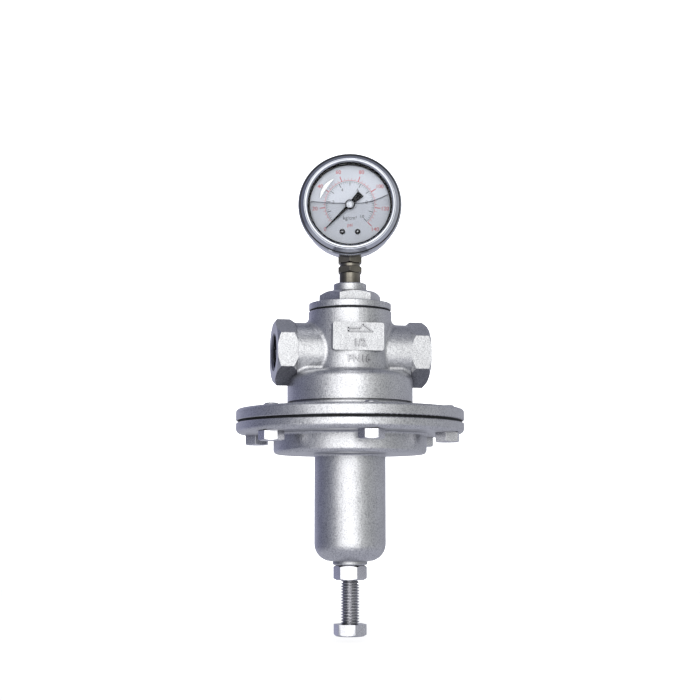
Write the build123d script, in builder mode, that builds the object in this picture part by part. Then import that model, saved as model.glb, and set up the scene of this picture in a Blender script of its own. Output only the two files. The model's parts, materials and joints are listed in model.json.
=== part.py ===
from build123d import *
import os
from math import cos, radians, sin, sqrt

# A half-inch, direct-acting, diaphragm pressure reducing valve with a pressure gauge on top.
# All sizes are in millimetres and degrees. The origin is the centre of the inlet port's mouth,
# +X is the way the water flows and +Z is up. Heights (..._Z) are above the pipe's centre line.

# ---------------------------------------------------------------- pipe ports
FACE_TO_FACE = 85.0
VALVE_X = FACE_TO_FACE / 2  # the valve's own upright axis
PORT_HEX_AF = 32.0
PORT_HEX_LENGTH = 11.0
PORT_HEX_FACE_R = 16.2  # the round flat that the end bevel leaves on the mouth
PORT_HEX_BEVEL = 1.8
PORT_HEX_BACK_BEVEL = 2.4
PORT_NECK_R = 16.5
PORT_NECK_LENGTH = 24.0
PORT_BLEND_R = 3.0
PORT_HEX_EDGE_ROUND = 0.7
PORT_THREAD_R = 10.5  # the root of the half-inch pipe thread, so a pipe's end fits in
PORT_THREAD_LENGTH = 15.0
PORT_BORE_R = 7.5
PASSAGE_WIDTH = 16.0
PASSAGE_HEIGHT = 9.0
PASSAGE_ROUND = 4.0
PASSAGE_RISE = 7.5  # the inlet dips below the seat by this much, and the outlet rises above it
PASSAGE_END = 11.5  # from the valve's axis
SENSING_HOLE_R = 1.5
SENSING_HOLE_X = 20.0

# ---------------------------------------------------------------- cast body
NECK_R = 23.0
NECK_TOP_Z = 22.9
NECK_EDGE_ROUND = 0.5
SHOULDER_Z = -11.0
SHOULDER_ROUND = 4.5
SHOULDER_FILLET = 2.0
SHOULDER_CORNER_R = 29.0  # the corners on the shoulder's flat lie within this radius
BOWL_R = 34.5
BOWL_FOOT_Z = -27.0
RELIEF_R = 33.7
GROOVE_R = 31.8  # the undercut where the bowl meets the flange
GROOVE_FLOOR_Z = -28.1
FLANGE_R = 62.5
FLANGE_ROUND = 1.8
JOINT_EDGE_ROUND = 0.7  # where a flange's rim meets the diaphragm
BODY_FLANGE_TOP_Z = -31.0
DIAPHRAGM_TOP_Z = -37.4
PAD_WIDTH = 28.0
PAD_BOTTOM_Z = -0.5
PAD_TOP_Z = 14.6
PAD_FACE_Y = 23.5
PAD_ROOT_Y = 14.0
PAD_ROUND = 1.3
TOP_BORE_R = 17.0
WEB_TOP_Z = 2.0  # the web that carries the seat lies between these two levels
WEB_BOTTOM_Z = -2.0
SEAT_THREAD_R = 11.0
INLET_CHAMBER_R = 12.0
INLET_CHAMBER_FLOOR_Z = -13.0
GUIDE_BORE_R = 8.0
GUIDE_BOSS_R = 11.0
GUIDE_BOSS_END_Z = -26.0
SENSING_ROOF_Z = -17.5
SENSING_CHAMBER_R = 29.5
SENSING_ROUND = 3.0
CLAMP_INNER_R = 42.0
CLAMP_RECESS_Z = -33.9

# ---------------------------------------------------------------- flange bolts, M8
BOLT_CIRCLE_R = 55.0
BOLT_COUNT = 6
BOLT_R = 3.95
BOLT_TAPPED_R = 4.05
BOLT_HOLE_R = 4.4
BOLT_HEAD_AF = 12.0
BOLT_HEAD_HEIGHT = 5.2
BOLT_TIP_Z = -29.8
BOLT_TIP_BEVEL = 0.7
BOLT_HEAD_TURNS = (-11.5, 8.0, 24.0, 37.0, 15.0, 50.0)  # each head stopped where it came tight

# ---------------------------------------------------------------- spring housing
DIAPHRAGM_BOTTOM_Z = -38.5
HOUSING_FLANGE_BOTTOM_Z = -44.5
HOUSING_FLANGE_ROUND = 2.8
HOUSING_BOWL_R = 42.0
HOUSING_BOWL_BOTTOM_Z = -55.6
HOUSING_BOWL_ROUND = 2.5
HOUSING_CORNER_FILLET = 1.5
BARREL_R = 19.5
DOME_ROUND = 9.5
DOME_BOTTOM_Z = -113.3
BOSS_R = 9.5
BOSS_BOTTOM_Z = -115.3
BOSS_BEVEL = 0.6
HOUSING_MOUTH_R = 38.0
HOUSING_MOUTH_ROUND = 1.8
HOUSING_FLOOR_Z = -51.6
HOUSING_FLOOR_ROUND = 2.0
BARREL_BORE_R = 16.0
DOME_BORE_ROUND = 6.5
DOME_BORE_BOTTOM_Z = -107.8
VENT_R = 1.5
VENT_Z = -49.0

# ---------------------------------------------------------------- seat, guide and stem
SEAT_BORE_R = 6.5
SEAT_LIP_Z = 3.2
SEAT_LIP_INNER_R = 6.9
SEAT_LIP_OUTER_R = 7.6
SEAT_LIP_FOOT_R = 8.1
SEAT_SLOT_WIDTH = 3.0
SEAT_SLOT_DEPTH = 1.4
GUIDE_CLEARANCE = 0.05
GUIDE_TOP_Z = -13.2
GUIDE_FLANGE_R = 10.5
GUIDE_FLANGE_END_Z = -27.2
PISTON_R = 6.5
PISTON_TOP_Z = -10.0
PISTON_BOTTOM_Z = -27.0
ORING_GROOVE_TOP_Z = -17.2
ORING_GROOVE_BOTTOM_Z = -19.4
ORING_GROOVE_R = 5.02
ORING_WIRE_R = 0.72
STEM_TOP_Z = 17.0
STEM_TOP_R = 3.0
STEM_COLLAR_R = 5.5
STEM_COLLAR_HEIGHT = 1.5
STEM_NECK_R = 3.5
STEM_SPACER_R = 6.0
STEM_THREAD_R = 4.0
STEM_END_Z = -51.0
STEM_BEVEL = 0.5
FIT_GAP = 0.05  # between pieces that are assembled together and stay together

# ---------------------------------------------------------------- valve disc and closing spring
DISC_SEAL_R = 9.4
DISC_SEAL_THICKNESS = 3.0
DISC_R = 10.5
DISC_RIM_Z = 3.7
DISC_TOP_Z = 10.0
DISC_ROUND = 1.0
DISC_NUT_AF = 10.0
DISC_NUT_HEIGHT = 5.0
CLOSING_SPRING_R = 8.2
CLOSING_SPRING_WIRE = 1.4
CLOSING_SPRING_TURNS = 4.5

# ---------------------------------------------------------------- top plug
PLUG_THREAD_R = 16.95
PLUG_THREAD_END_Z = 15.0
PLUG_POCKET_R = 10.0
PLUG_POCKET_TOP_Z = 24.0
PLUG_PASSAGE_R = 3.0
PLUG_FLANGE_R = 22.75
PLUG_FLANGE_BOTTOM_Z = 23.8
PLUG_FLANGE_TOP_Z = 27.5
PLUG_FLANGE_ROUND = 0.5
PLUG_HEX_AF = 30.0
PLUG_HEX_TOP_Z = 33.8
PLUG_BOSS_R = 9.2
PLUG_BOSS_TOP_Z = 38.8
PLUG_BOSS_BEVEL = 0.9
GAUGE_THREAD_R = 6.5
GAUGE_THREAD_BOTTOM_Z = 27.0
GASKET_R = 22.2
GASKET_INNER_R = 17.1

# ---------------------------------------------------------------- diaphragm and its plates
DIAPHRAGM_R = 61.0
UPPER_PLATE_R = 28.0
UPPER_PLATE_TOP_Z = -35.4
LOWER_PLATE_R = 30.0
LOWER_PLATE_BOTTOM_Z = -41.0
PLATE_ROUND = 1.0
LOWER_PLATE_HUB_R = 10.0
LOWER_PLATE_HUB_BORE_R = 8.2
LOWER_PLATE_HUB_Z = -45.0
WASHER_R = 7.6
WASHER_THICKNESS = 1.2
STEM_NUT_AF = 13.0
STEM_NUT_HEIGHT = 6.5

# ---------------------------------------------------------------- range spring and adjustment
RANGE_SPRING_R = 12.5
RANGE_SPRING_WIRE = 4.0
RANGE_SPRING_TURNS = 7.5
BUTTON_R = 14.8
BUTTON_TOP_Z = -93.0
BUTTON_HUB_R = 9.8
BUTTON_HUB_TOP_Z = -89.0
BUTTON_BOTTOM_Z = -97.0
BUTTON_SOCKET_R = 5.6
SCREW_TIP_Z = -96.0
SCREW_R = 4.92
SCREW_TIP_BEVEL = 1.0
SCREW_CLEARANCE = 0.08
SCREW_HEAD_TOP_Z = -146.9
SCREW_HEAD_AF = 16.0
SCREW_HEAD_HEIGHT = 6.4
SCREW_HEAD_TURN = -24.0
LOCK_NUT_AF = 16.0
LOCK_NUT_HEIGHT = 8.1
LOCK_NUT_TURN = -17.0

# ---------------------------------------------------------------- pressure gauge, outside
# The gauge is screwed in until it faces a little to the left of square.
# Its own frame has its origin at the dial's centre, x to the right, y up and z towards the reader.
GAUGE_TURN = 11.5
GAUGE_CENTRE_Z = 81.5
SHANK_R = 5.9
SHANK_TOP_Z = 44.6
WRENCH_AF = 13.0
WRENCH_LOW_TOP_Z = 48.4
WRENCH_GROOVE_R = 5.6
WRENCH_GROOVE_TOP_Z = 50.0
WRENCH_HIGH_TOP_Z = 53.6
COLLAR_R = 6.2
COLLAR_TOP_Z = 57.0
SOCKET_GAP = 0.05
SOCKET_BORE_R = 1.5
SOCKET_HEAD_WIDTH = 13.0
SOCKET_HEAD_TOP_Z = 65.5
SOCKET_HEAD_BACK = -6.5
SOCKET_HEAD_FRONT = 3.0
CASE_R = 26.8
CASE_WALL = 0.8
CASE_BACK = -12.0
CASE_BACK_ROUND = 3.0
CASE_FLANGE_R = 27.8
CASE_FLANGE_BACK = 9.1
CASE_FRONT = 9.9
CASE_HOLE_R = 6.3
FILL_HOLE_R = 3.6
BEZEL_R = 28.5
BEZEL_BACK = 8.0
BEZEL_FRONT = 15.0
BEZEL_ROUND = 2.7
BEZEL_LIP_R = 27.0
BEZEL_BORE_R = 27.9
BEZEL_CROWN_R = 25.0
BEZEL_CROWN_ROUND = 0.8
BEZEL_WINDOW_R = 23.4
LENS_R = 26.4
LENS_BACK = 12.6
LENS_FRONT = 14.0
LENS_GASKET_INNER_R = 23.6
FILL_PLUG_CAP_R = 4.6
FILL_PLUG_CAP_BOTTOM = 27.0
FILL_PLUG_CAP_TOP = 28.3
FILL_PLUG_FOOT = 25.2
FILL_PLUG_ROUND = 0.5

# ---------------------------------------------------------------- pressure gauge, movement
DIAL_R = 23.3
DIAL_BACK = 9.3
DIAL_FRONT = 9.8
DIAL_HOLE_R = 1.4
DIAL_SCREW_X = 4.2
DIAL_SCREW_Y = -15.0
DIAL_SCREW_R = 0.7
DIAL_SCREW_HEAD_R = 1.5
DIAL_SCREW_HEAD = 0.7
DIAL_SCREW_SLOT = 0.35
PLATE_WIDTH = 17.0
PLATE_TOP = 6.5
PLATE_BOTTOM = -18.0
PLATE_CORNER = 2.0
BACK_PLATE_BACK = 3.0
BACK_PLATE_FRONT = 3.8
FRONT_PLATE_BACK = 7.6
FRONT_PLATE_FRONT = 8.4
PILLAR_R = 1.1
PILLARS = ((-6.5, 4.5), (6.5, 4.5), (-6.3, -16.0))
PLATE_SCREW_R = 0.55
PLATE_SCREW_HEAD_R = 1.0
PLATE_SCREW_HEAD = 0.6
POST_R = 1.3
SHAFT_R = 0.6
SHAFT_GAP = 0.05
SHAFT_BACK = 3.2
SHAFT_FRONT = 11.9
PINION_TEETH = 10
PINION_PITCH_R = 1.5
PINION_BACK = 4.2
PINION_FRONT = 5.9
GEAR_RATIO = 6.0
SECTOR_BACK = 4.7
SECTOR_FRONT = 5.4
SECTOR_PITCH_R = PINION_PITCH_R * GEAR_RATIO
SECTOR_PIVOT_Y = -(PINION_PITCH_R + SECTOR_PITCH_R)
SECTOR_FIRST_TOOTH = 42.0  # angles about the sector's own pivot, from the right
SECTOR_TOOTH_STEP = 360.0 / (PINION_TEETH * GEAR_RATIO)
SECTOR_TEETH = 10
SECTOR_RIM = 1.3
SECTOR_HUB_R = 1.9
SECTOR_TAIL_LENGTH = 6.0
SECTOR_TAIL_ANGLE = -45.0
SECTOR_ARM_WIDTH = 1.8
TOOTH_HEIGHT = 0.52
TOOTH_ROOT = 0.34
TOOTH_ROOT_WIDTH = 0.44
TOOTH_TIP_WIDTH = 0.16
TOOTH_SINK = 0.2
PIN_R = 0.5
LINK_BACK = 5.7
LINK_FRONT = 6.3
LINK_WIDTH = 1.9
TUBE_R = 19.0
TUBE_WIDTH = 7.0
TUBE_THICKNESS = 2.4
TUBE_WALL = 0.4
TUBE_MID = -2.5  # the tube's middle plane, behind the dial's frame
TUBE_START_ANGLE = 254.0
TUBE_END_ANGLE = -20.0
TIP_ANGLE = 8.0
TIP_WIDTH = 8.0
TIP_THICKNESS = 3.4
HAIRSPRING_INNER_R = 1.2
HAIRSPRING_PITCH = 0.8
HAIRSPRING_HALF_TURNS = 8
HAIRSPRING_RIBBON = 0.14
HAIRSPRING_BACK = 6.6
HAIRSPRING_FRONT = 7.2
POINTER_ZERO_ANGLE = 225.0
POINTER_LENGTH = 18.6
POINTER_ROOT_WIDTH = 2.0
POINTER_TIP_WIDTH = 0.5
POINTER_TAIL_LENGTH = 8.5
POINTER_TAIL_WIDTH = 4.2
POINTER_BACK = 10.9
POINTER_FRONT = 11.2
HUB_R = 2.7
HUB_FRONT = 11.7
HUB_CAP_R = 1.9
HUB_CAP_FRONT = 12.3

SPRING_GRIND = 0.6  # length ground off each end of a spring, in wire thicknesses
HEX_BEVEL_ANGLE = 30.0
HEX_BEVEL_FACE = 0.94  # a bevelled end's round flat, as a share of the distance across flats
HEX_EDGE_ROUND = 0.018  # the rounding of its upright edges, as the same share
FRONT = -90.0  # direction of the valve's front, about its upright axis

# ---------------------------------------------------------------- frames
VALVE_AXIS = Axis((VALVE_X, 0, 0), (0, 0, 1))
VALVE_SIDE = Plane((VALVE_X, 0, 0), x_dir=(1, 0, 0), z_dir=(0, -1, 0))  # (radius, height)
PORT_AXIS = Axis((0, 0, 0), (1, 0, 0))
INLET_MOUTH = Plane((0, 0, 0), x_dir=(0, 0, 1), z_dir=(-1, 0, 0))
OUTLET_MOUTH = Plane((FACE_TO_FACE, 0, 0), x_dir=(0, 0, 1), z_dir=(1, 0, 0))

GAUGE_RIGHT = (cos(radians(GAUGE_TURN)), -sin(radians(GAUGE_TURN)), 0)
GAUGE_OUT = (-sin(radians(GAUGE_TURN)), -cos(radians(GAUGE_TURN)), 0)
GAUGE_CENTRE = (VALVE_X, 0, GAUGE_CENTRE_Z)
GAUGE_FACE = Plane(GAUGE_CENTRE, x_dir=GAUGE_RIGHT, z_dir=GAUGE_OUT)
GAUGE_SIDE = Plane(GAUGE_CENTRE, x_dir=GAUGE_RIGHT, z_dir=(0, 0, -1))  # (radius, depth)
GAUGE_AXIS = Axis(GAUGE_CENTRE, GAUGE_OUT)


# ---------------------------------------------------------------- helpers
def outline(plane, *corners):
    """A closed outline on a plane. A corner is (across, up) or (across, up, rounding radius)."""
    with BuildSketch(plane) as face:
        with BuildLine():
            FilletPolyline(
                *[corner[:2] for corner in corners],
                radius=[corner[2] if len(corner) > 2 else 0 for corner in corners],
                close=True,
            )
        make_face()
    return face.sketch


def level(z, turn=0.0):
    """The level plane at a height, centred on the valve's axis and turned about it."""
    return Plane((VALVE_X, 0, z), x_dir=(cos(radians(turn)), sin(radians(turn)), 0), z_dir=(0, 0, 1))


def hex_block(base, across_flats, height, low_bevel=False, high_bevel=False):
    """A hexagonal prism standing on a plane, flats square to its y, with bevelled corners."""
    corner_r = across_flats / sqrt(3)
    face_r = across_flats / 2 * HEX_BEVEL_FACE
    drop = (corner_r - face_r) * sin(radians(HEX_BEVEL_ANGLE)) / cos(radians(HEX_BEVEL_ANGLE))
    low = [(face_r, 0), (corner_r, drop)] if low_bevel else [(corner_r, 0)]
    high = [(corner_r, height - drop), (face_r, height)] if high_bevel else [(corner_r, height)]
    side = Plane(base.origin, x_dir=base.x_dir, z_dir=-base.y_dir)
    with BuildPart() as block:
        with BuildSketch(base):
            RegularPolygon(across_flats / 2, 6, major_radius=False)
        extrude(amount=height)
        fillet(edges().filter_by(Axis(base.origin, base.z_dir)), across_flats * HEX_EDGE_ROUND)
        barrel = outline(side, (0, 0), *low, *high, (0, height))
        revolve(barrel, axis=Axis(base.origin, base.z_dir), mode=Mode.INTERSECT)
    return block.part


def coil_spring(foot, mean_radius, wire, length, turns, ground):
    """A compression spring standing on a plane, its ends ground flat or left as they were cut."""
    spare = wire * SPRING_GRIND if ground else -wire / 2
    start = foot.offset(-spare)
    rise = length + 2 * spare
    with BuildPart() as spring:
        with BuildLine() as path:
            Helix(length / turns, rise, mean_radius, center=start.origin, direction=start.z_dir)
        with BuildSketch(Plane(path.line @ 0, z_dir=path.line % 0)):
            Circle(wire / 2)
        sweep(is_frenet=True)
        if ground:
            with BuildSketch(foot):
                Circle(mean_radius + wire)
            extrude(amount=length, mode=Mode.INTERSECT)
    return spring.part


def port_end(mouth):
    """The outside of one pipe end: a bevelled hexagon, corners up and down, and its round neck."""
    corner_r = PORT_HEX_AF / sqrt(3)
    side = Plane(mouth.origin, x_dir=mouth.x_dir, z_dir=-mouth.y_dir)
    with BuildPart() as end:
        with BuildSketch(mouth):
            RegularPolygon(PORT_HEX_AF / 2, 6, major_radius=False)
        extrude(amount=-PORT_HEX_LENGTH)
        fillet(edges().filter_by(Axis.X), PORT_HEX_EDGE_ROUND)
        barrel = outline(
            side,
            (0, 0),
            (PORT_HEX_FACE_R, 0),
            (corner_r, -PORT_HEX_BEVEL),
            (corner_r, PORT_HEX_BACK_BEVEL - PORT_HEX_LENGTH),
            (PORT_NECK_R, -PORT_HEX_LENGTH),
            (0, -PORT_HEX_LENGTH),
        )
        revolve(barrel, axis=PORT_AXIS, mode=Mode.INTERSECT)
        with BuildSketch(mouth.offset(-PORT_HEX_LENGTH)):
            Circle(PORT_NECK_R)
        extrude(amount=-PORT_NECK_LENGTH)
    return end.part


def port_bore(mouth, rise):
    """The hollow of one port: the pipe thread and the passage up or down to the seat."""
    side = Plane(mouth.origin, x_dir=mouth.x_dir, z_dir=-mouth.y_dir)
    taper = PORT_THREAD_R - PORT_BORE_R
    with BuildPart() as bore:
        thread = outline(
            side,
            (0, 0),
            (PORT_THREAD_R, 0),
            (PORT_THREAD_R, -PORT_THREAD_LENGTH),
            (PORT_BORE_R, -PORT_THREAD_LENGTH - taper),
            (0, -PORT_THREAD_LENGTH - taper),
        )
        revolve(thread, axis=PORT_AXIS)
        with BuildSketch(mouth.offset(-PORT_THREAD_LENGTH - taper)):
            Circle(PORT_BORE_R)
        with BuildSketch(mouth.offset(PASSAGE_END - VALVE_X)):
            with Locations((rise, 0)):
                RectangleRounded(PASSAGE_HEIGHT, PASSAGE_WIDTH, PASSAGE_ROUND)
        loft()
    return bore.part


def is_shoulder_corner(edge):
    """Is an edge one of the inner corners where the necks rise from the shoulder's flat?"""
    middle = edge.center()
    from_axis = sqrt((middle.X - VALVE_X) ** 2 + middle.Y**2)
    on_flat = abs(middle.Z - SHOULDER_Z) < FIT_GAP
    return on_flat and from_axis < SHOULDER_CORNER_R and edge.length > SHOULDER_FILLET / 2


def tooth(plane, pitch_radius, angle):
    """One gear tooth on a plane, at an angle about the plane's origin."""
    root_radius = pitch_radius - TOOTH_ROOT
    with BuildSketch(plane) as shape:
        with Locations(Location((0, 0, 0), (0, 0, angle))):
            with BuildLine(mode=Mode.PRIVATE) as flank:
                Polyline(
                    (root_radius - TOOTH_SINK, -TOOTH_ROOT_WIDTH / 2),
                    (root_radius, -TOOTH_ROOT_WIDTH / 2),
                    (root_radius + TOOTH_HEIGHT, -TOOTH_TIP_WIDTH / 2),
                    (root_radius + TOOTH_HEIGHT, TOOTH_TIP_WIDTH / 2),
                    (root_radius, TOOTH_ROOT_WIDTH / 2),
                    (root_radius - TOOTH_SINK, TOOTH_ROOT_WIDTH / 2),
                    close=True,
                )
            add(make_face(flank.line, mode=Mode.PRIVATE))
    return shape.sketch


def gauge_face(angle):
    """The dial's plane, turned about the gauge's axis by an angle counted from its right."""
    across = cos(radians(angle))
    x_dir = (GAUGE_RIGHT[0] * across, GAUGE_RIGHT[1] * across, sin(radians(angle)))
    return Plane(GAUGE_CENTRE, x_dir=x_dir, z_dir=GAUGE_OUT)


def gauge_side(angle):
    """The (radius, depth) plane at an angle about the gauge's axis."""
    return Plane(GAUGE_CENTRE, x_dir=gauge_face(angle).x_dir, z_dir=-gauge_face(angle).y_dir)


# ---------------------------------------------------------------- body, seat and top plug
with BuildPart() as valve_body:
    with BuildSketch(level(GUIDE_BOSS_END_Z, FRONT)):
        Circle(NECK_R)
    extrude(amount=NECK_TOP_Z - GUIDE_BOSS_END_Z)
    fillet(edges().sort_by(Axis.Z)[-1], NECK_EDGE_ROUND)
    with BuildSketch(INLET_MOUTH.offset(-PORT_HEX_LENGTH)):
        Circle(PORT_NECK_R)
    extrude(amount=2 * PORT_HEX_LENGTH - FACE_TO_FACE)
    fillet(edges().filter_by(GeomType.BSPLINE), PORT_BLEND_R)
    bowl_outside = outline(
        VALVE_SIDE,
        (0, DIAPHRAGM_TOP_Z),
        (FLANGE_R, DIAPHRAGM_TOP_Z, JOINT_EDGE_ROUND),
        (FLANGE_R, BODY_FLANGE_TOP_Z, FLANGE_ROUND),
        (RELIEF_R, BODY_FLANGE_TOP_Z),
        (RELIEF_R, GROOVE_FLOOR_Z),
        (GROOVE_R, GROOVE_FLOOR_Z),
        (GROOVE_R, BOWL_FOOT_Z),
        (BOWL_R, BOWL_FOOT_Z),
        (BOWL_R, SHOULDER_Z, SHOULDER_ROUND),
        (0, SHOULDER_Z),
    )
    revolve(bowl_outside, axis=VALVE_AXIS)
    fillet([edge for edge in edges() if is_shoulder_corner(edge)], SHOULDER_FILLET)
    add(port_end(INLET_MOUTH))
    add(port_end(OUTLET_MOUTH))
    with BuildSketch(VALVE_SIDE.offset(PAD_ROOT_Y)):
        with Locations((0, (PAD_TOP_Z + PAD_BOTTOM_Z) / 2)):
            RectangleRounded(PAD_WIDTH, PAD_TOP_Z - PAD_BOTTOM_Z, PAD_ROUND)
    extrude(amount=PAD_FACE_Y - PAD_ROOT_Y)
    body_inside = outline(
        VALVE_SIDE,
        (0, NECK_TOP_Z),
        (TOP_BORE_R, NECK_TOP_Z),
        (TOP_BORE_R, WEB_TOP_Z),
        (SEAT_THREAD_R, WEB_TOP_Z),
        (SEAT_THREAD_R, WEB_BOTTOM_Z),
        (INLET_CHAMBER_R, WEB_BOTTOM_Z),
        (INLET_CHAMBER_R, INLET_CHAMBER_FLOOR_Z),
        (GUIDE_BORE_R, INLET_CHAMBER_FLOOR_Z),
        (GUIDE_BORE_R, GUIDE_BOSS_END_Z),
        (GUIDE_BOSS_R, GUIDE_BOSS_END_Z),
        (GUIDE_BOSS_R, SENSING_ROOF_Z),
        (SENSING_CHAMBER_R, SENSING_ROOF_Z, SENSING_ROUND),
        (SENSING_CHAMBER_R, CLAMP_RECESS_Z),
        (CLAMP_INNER_R, CLAMP_RECESS_Z),
        (CLAMP_INNER_R, DIAPHRAGM_TOP_Z),
        (0, DIAPHRAGM_TOP_Z),
    )
    revolve(body_inside, axis=VALVE_AXIS, mode=Mode.SUBTRACT)
    add(port_bore(INLET_MOUTH, -PASSAGE_RISE), mode=Mode.SUBTRACT)
    add(port_bore(OUTLET_MOUTH, PASSAGE_RISE), mode=Mode.SUBTRACT)
    with BuildSketch(level(SENSING_ROOF_Z)):
        with Locations((SENSING_HOLE_X, 0)):
            Circle(SENSING_HOLE_R)
    extrude(amount=-SENSING_ROOF_Z, mode=Mode.SUBTRACT)
    with BuildSketch(level(DIAPHRAGM_TOP_Z)):
        with PolarLocations(BOLT_CIRCLE_R, BOLT_COUNT, start_angle=FRONT):
            Circle(BOLT_TAPPED_R)
    extrude(amount=BODY_FLANGE_TOP_Z - DIAPHRAGM_TOP_Z, mode=Mode.SUBTRACT)

with BuildPart() as seat_ring:
    seat_profile = outline(
        VALVE_SIDE,
        (SEAT_BORE_R, WEB_BOTTOM_Z),
        (SEAT_THREAD_R, WEB_BOTTOM_Z),
        (SEAT_THREAD_R, WEB_TOP_Z),
        (SEAT_LIP_FOOT_R, WEB_TOP_Z),
        (SEAT_LIP_OUTER_R, SEAT_LIP_Z),
        (SEAT_LIP_INNER_R, SEAT_LIP_Z),
        (SEAT_BORE_R, SEAT_LIP_Z - FIT_GAP),
    )
    revolve(seat_profile, axis=VALVE_AXIS)
    with BuildSketch(level(WEB_TOP_Z)):
        Rectangle(2 * SEAT_THREAD_R, SEAT_SLOT_WIDTH)
        Circle(SEAT_LIP_FOOT_R, mode=Mode.SUBTRACT)
    extrude(amount=-SEAT_SLOT_DEPTH, mode=Mode.SUBTRACT)

with BuildPart() as guide_bush:
    guide_profile = outline(
        VALVE_SIDE,
        (PISTON_R + GUIDE_CLEARANCE, GUIDE_TOP_Z),
        (GUIDE_BORE_R, GUIDE_TOP_Z),
        (GUIDE_BORE_R, GUIDE_BOSS_END_Z),
        (GUIDE_FLANGE_R, GUIDE_BOSS_END_Z),
        (GUIDE_FLANGE_R, GUIDE_FLANGE_END_Z),
        (PISTON_R + GUIDE_CLEARANCE, GUIDE_FLANGE_END_Z),
    )
    revolve(guide_profile, axis=VALVE_AXIS)

with BuildPart() as plug_gasket:
    with BuildSketch(level(NECK_TOP_Z)):
        Circle(GASKET_R)
        Circle(GASKET_INNER_R, mode=Mode.SUBTRACT)
    extrude(amount=PLUG_FLANGE_BOTTOM_Z - NECK_TOP_Z)

with BuildPart() as top_plug:
    plug_outside = outline(
        VALVE_SIDE,
        (0, PLUG_THREAD_END_Z),
        (PLUG_THREAD_R, PLUG_THREAD_END_Z),
        (PLUG_THREAD_R, PLUG_FLANGE_BOTTOM_Z),
        (PLUG_FLANGE_R, PLUG_FLANGE_BOTTOM_Z, PLUG_FLANGE_ROUND),
        (PLUG_FLANGE_R, PLUG_FLANGE_TOP_Z, PLUG_FLANGE_ROUND),
        (PLUG_BOSS_R, PLUG_FLANGE_TOP_Z),
        (PLUG_BOSS_R, PLUG_BOSS_TOP_Z, PLUG_BOSS_BEVEL),
        (0, PLUG_BOSS_TOP_Z),
    )
    revolve(plug_outside, axis=VALVE_AXIS)
    plug_hex_height = PLUG_HEX_TOP_Z - PLUG_FLANGE_TOP_Z
    add(hex_block(level(PLUG_FLANGE_TOP_Z), PLUG_HEX_AF, plug_hex_height, high_bevel=True))
    plug_inside = outline(
        VALVE_SIDE,
        (0, PLUG_THREAD_END_Z),
        (PLUG_POCKET_R, PLUG_THREAD_END_Z),
        (PLUG_POCKET_R, PLUG_POCKET_TOP_Z),
        (PLUG_PASSAGE_R, PLUG_POCKET_TOP_Z),
        (PLUG_PASSAGE_R, GAUGE_THREAD_BOTTOM_Z),
        (GAUGE_THREAD_R, GAUGE_THREAD_BOTTOM_Z),
        (GAUGE_THREAD_R, PLUG_BOSS_TOP_Z),
        (0, PLUG_BOSS_TOP_Z),
    )
    revolve(plug_inside, axis=VALVE_AXIS, mode=Mode.SUBTRACT)

# ---------------------------------------------------------------- stem, disc and closing spring
with BuildPart() as stem:
    stem_profile = outline(
        VALVE_SIDE,
        (0, STEM_END_Z),
        (STEM_THREAD_R - STEM_BEVEL, STEM_END_Z),
        (STEM_THREAD_R, STEM_END_Z + STEM_BEVEL),
        (STEM_THREAD_R, UPPER_PLATE_TOP_Z),
        (STEM_SPACER_R, UPPER_PLATE_TOP_Z),
        (STEM_SPACER_R, PISTON_BOTTOM_Z),
        (PISTON_R, PISTON_BOTTOM_Z),
        (PISTON_R, ORING_GROOVE_BOTTOM_Z),
        (ORING_GROOVE_R, ORING_GROOVE_BOTTOM_Z),
        (ORING_GROOVE_R, ORING_GROOVE_TOP_Z),
        (PISTON_R, ORING_GROOVE_TOP_Z),
        (PISTON_R, PISTON_TOP_Z),
        (STEM_NECK_R, PISTON_TOP_Z),
        (STEM_NECK_R, SEAT_LIP_Z - STEM_COLLAR_HEIGHT),
        (STEM_COLLAR_R, SEAT_LIP_Z - STEM_COLLAR_HEIGHT),
        (STEM_COLLAR_R, SEAT_LIP_Z),
        (STEM_TOP_R, SEAT_LIP_Z),
        (STEM_TOP_R, STEM_TOP_Z - STEM_BEVEL),
        (STEM_TOP_R - STEM_BEVEL, STEM_TOP_Z),
        (0, STEM_TOP_Z),
    )
    revolve(stem_profile, axis=VALVE_AXIS)

with BuildPart() as stem_oring:
    with BuildSketch(VALVE_SIDE):
        with Locations((PISTON_R - ORING_WIRE_R, (ORING_GROOVE_TOP_Z + ORING_GROOVE_BOTTOM_Z) / 2)):
            Circle(ORING_WIRE_R)
    revolve(axis=VALVE_AXIS)

with BuildPart() as disc_seal:
    with BuildSketch(level(SEAT_LIP_Z)):
        Circle(DISC_SEAL_R)
        Circle(STEM_TOP_R + FIT_GAP, mode=Mode.SUBTRACT)
    extrude(amount=DISC_SEAL_THICKNESS)

with BuildPart() as disc_holder:
    disc_profile = outline(
        VALVE_SIDE,
        (STEM_TOP_R + FIT_GAP, SEAT_LIP_Z + DISC_SEAL_THICKNESS),
        (DISC_SEAL_R + FIT_GAP, SEAT_LIP_Z + DISC_SEAL_THICKNESS),
        (DISC_SEAL_R + FIT_GAP, DISC_RIM_Z),
        (DISC_R, DISC_RIM_Z),
        (DISC_R, DISC_TOP_Z, DISC_ROUND),
        (STEM_TOP_R + FIT_GAP, DISC_TOP_Z),
    )
    revolve(disc_profile, axis=VALVE_AXIS)

with BuildPart() as disc_nut:
    add(hex_block(level(DISC_TOP_Z), DISC_NUT_AF, DISC_NUT_HEIGHT, high_bevel=True))
    with BuildSketch(level(DISC_TOP_Z)):
        Circle(STEM_TOP_R + FIT_GAP)
    extrude(amount=DISC_NUT_HEIGHT, mode=Mode.SUBTRACT)

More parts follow.
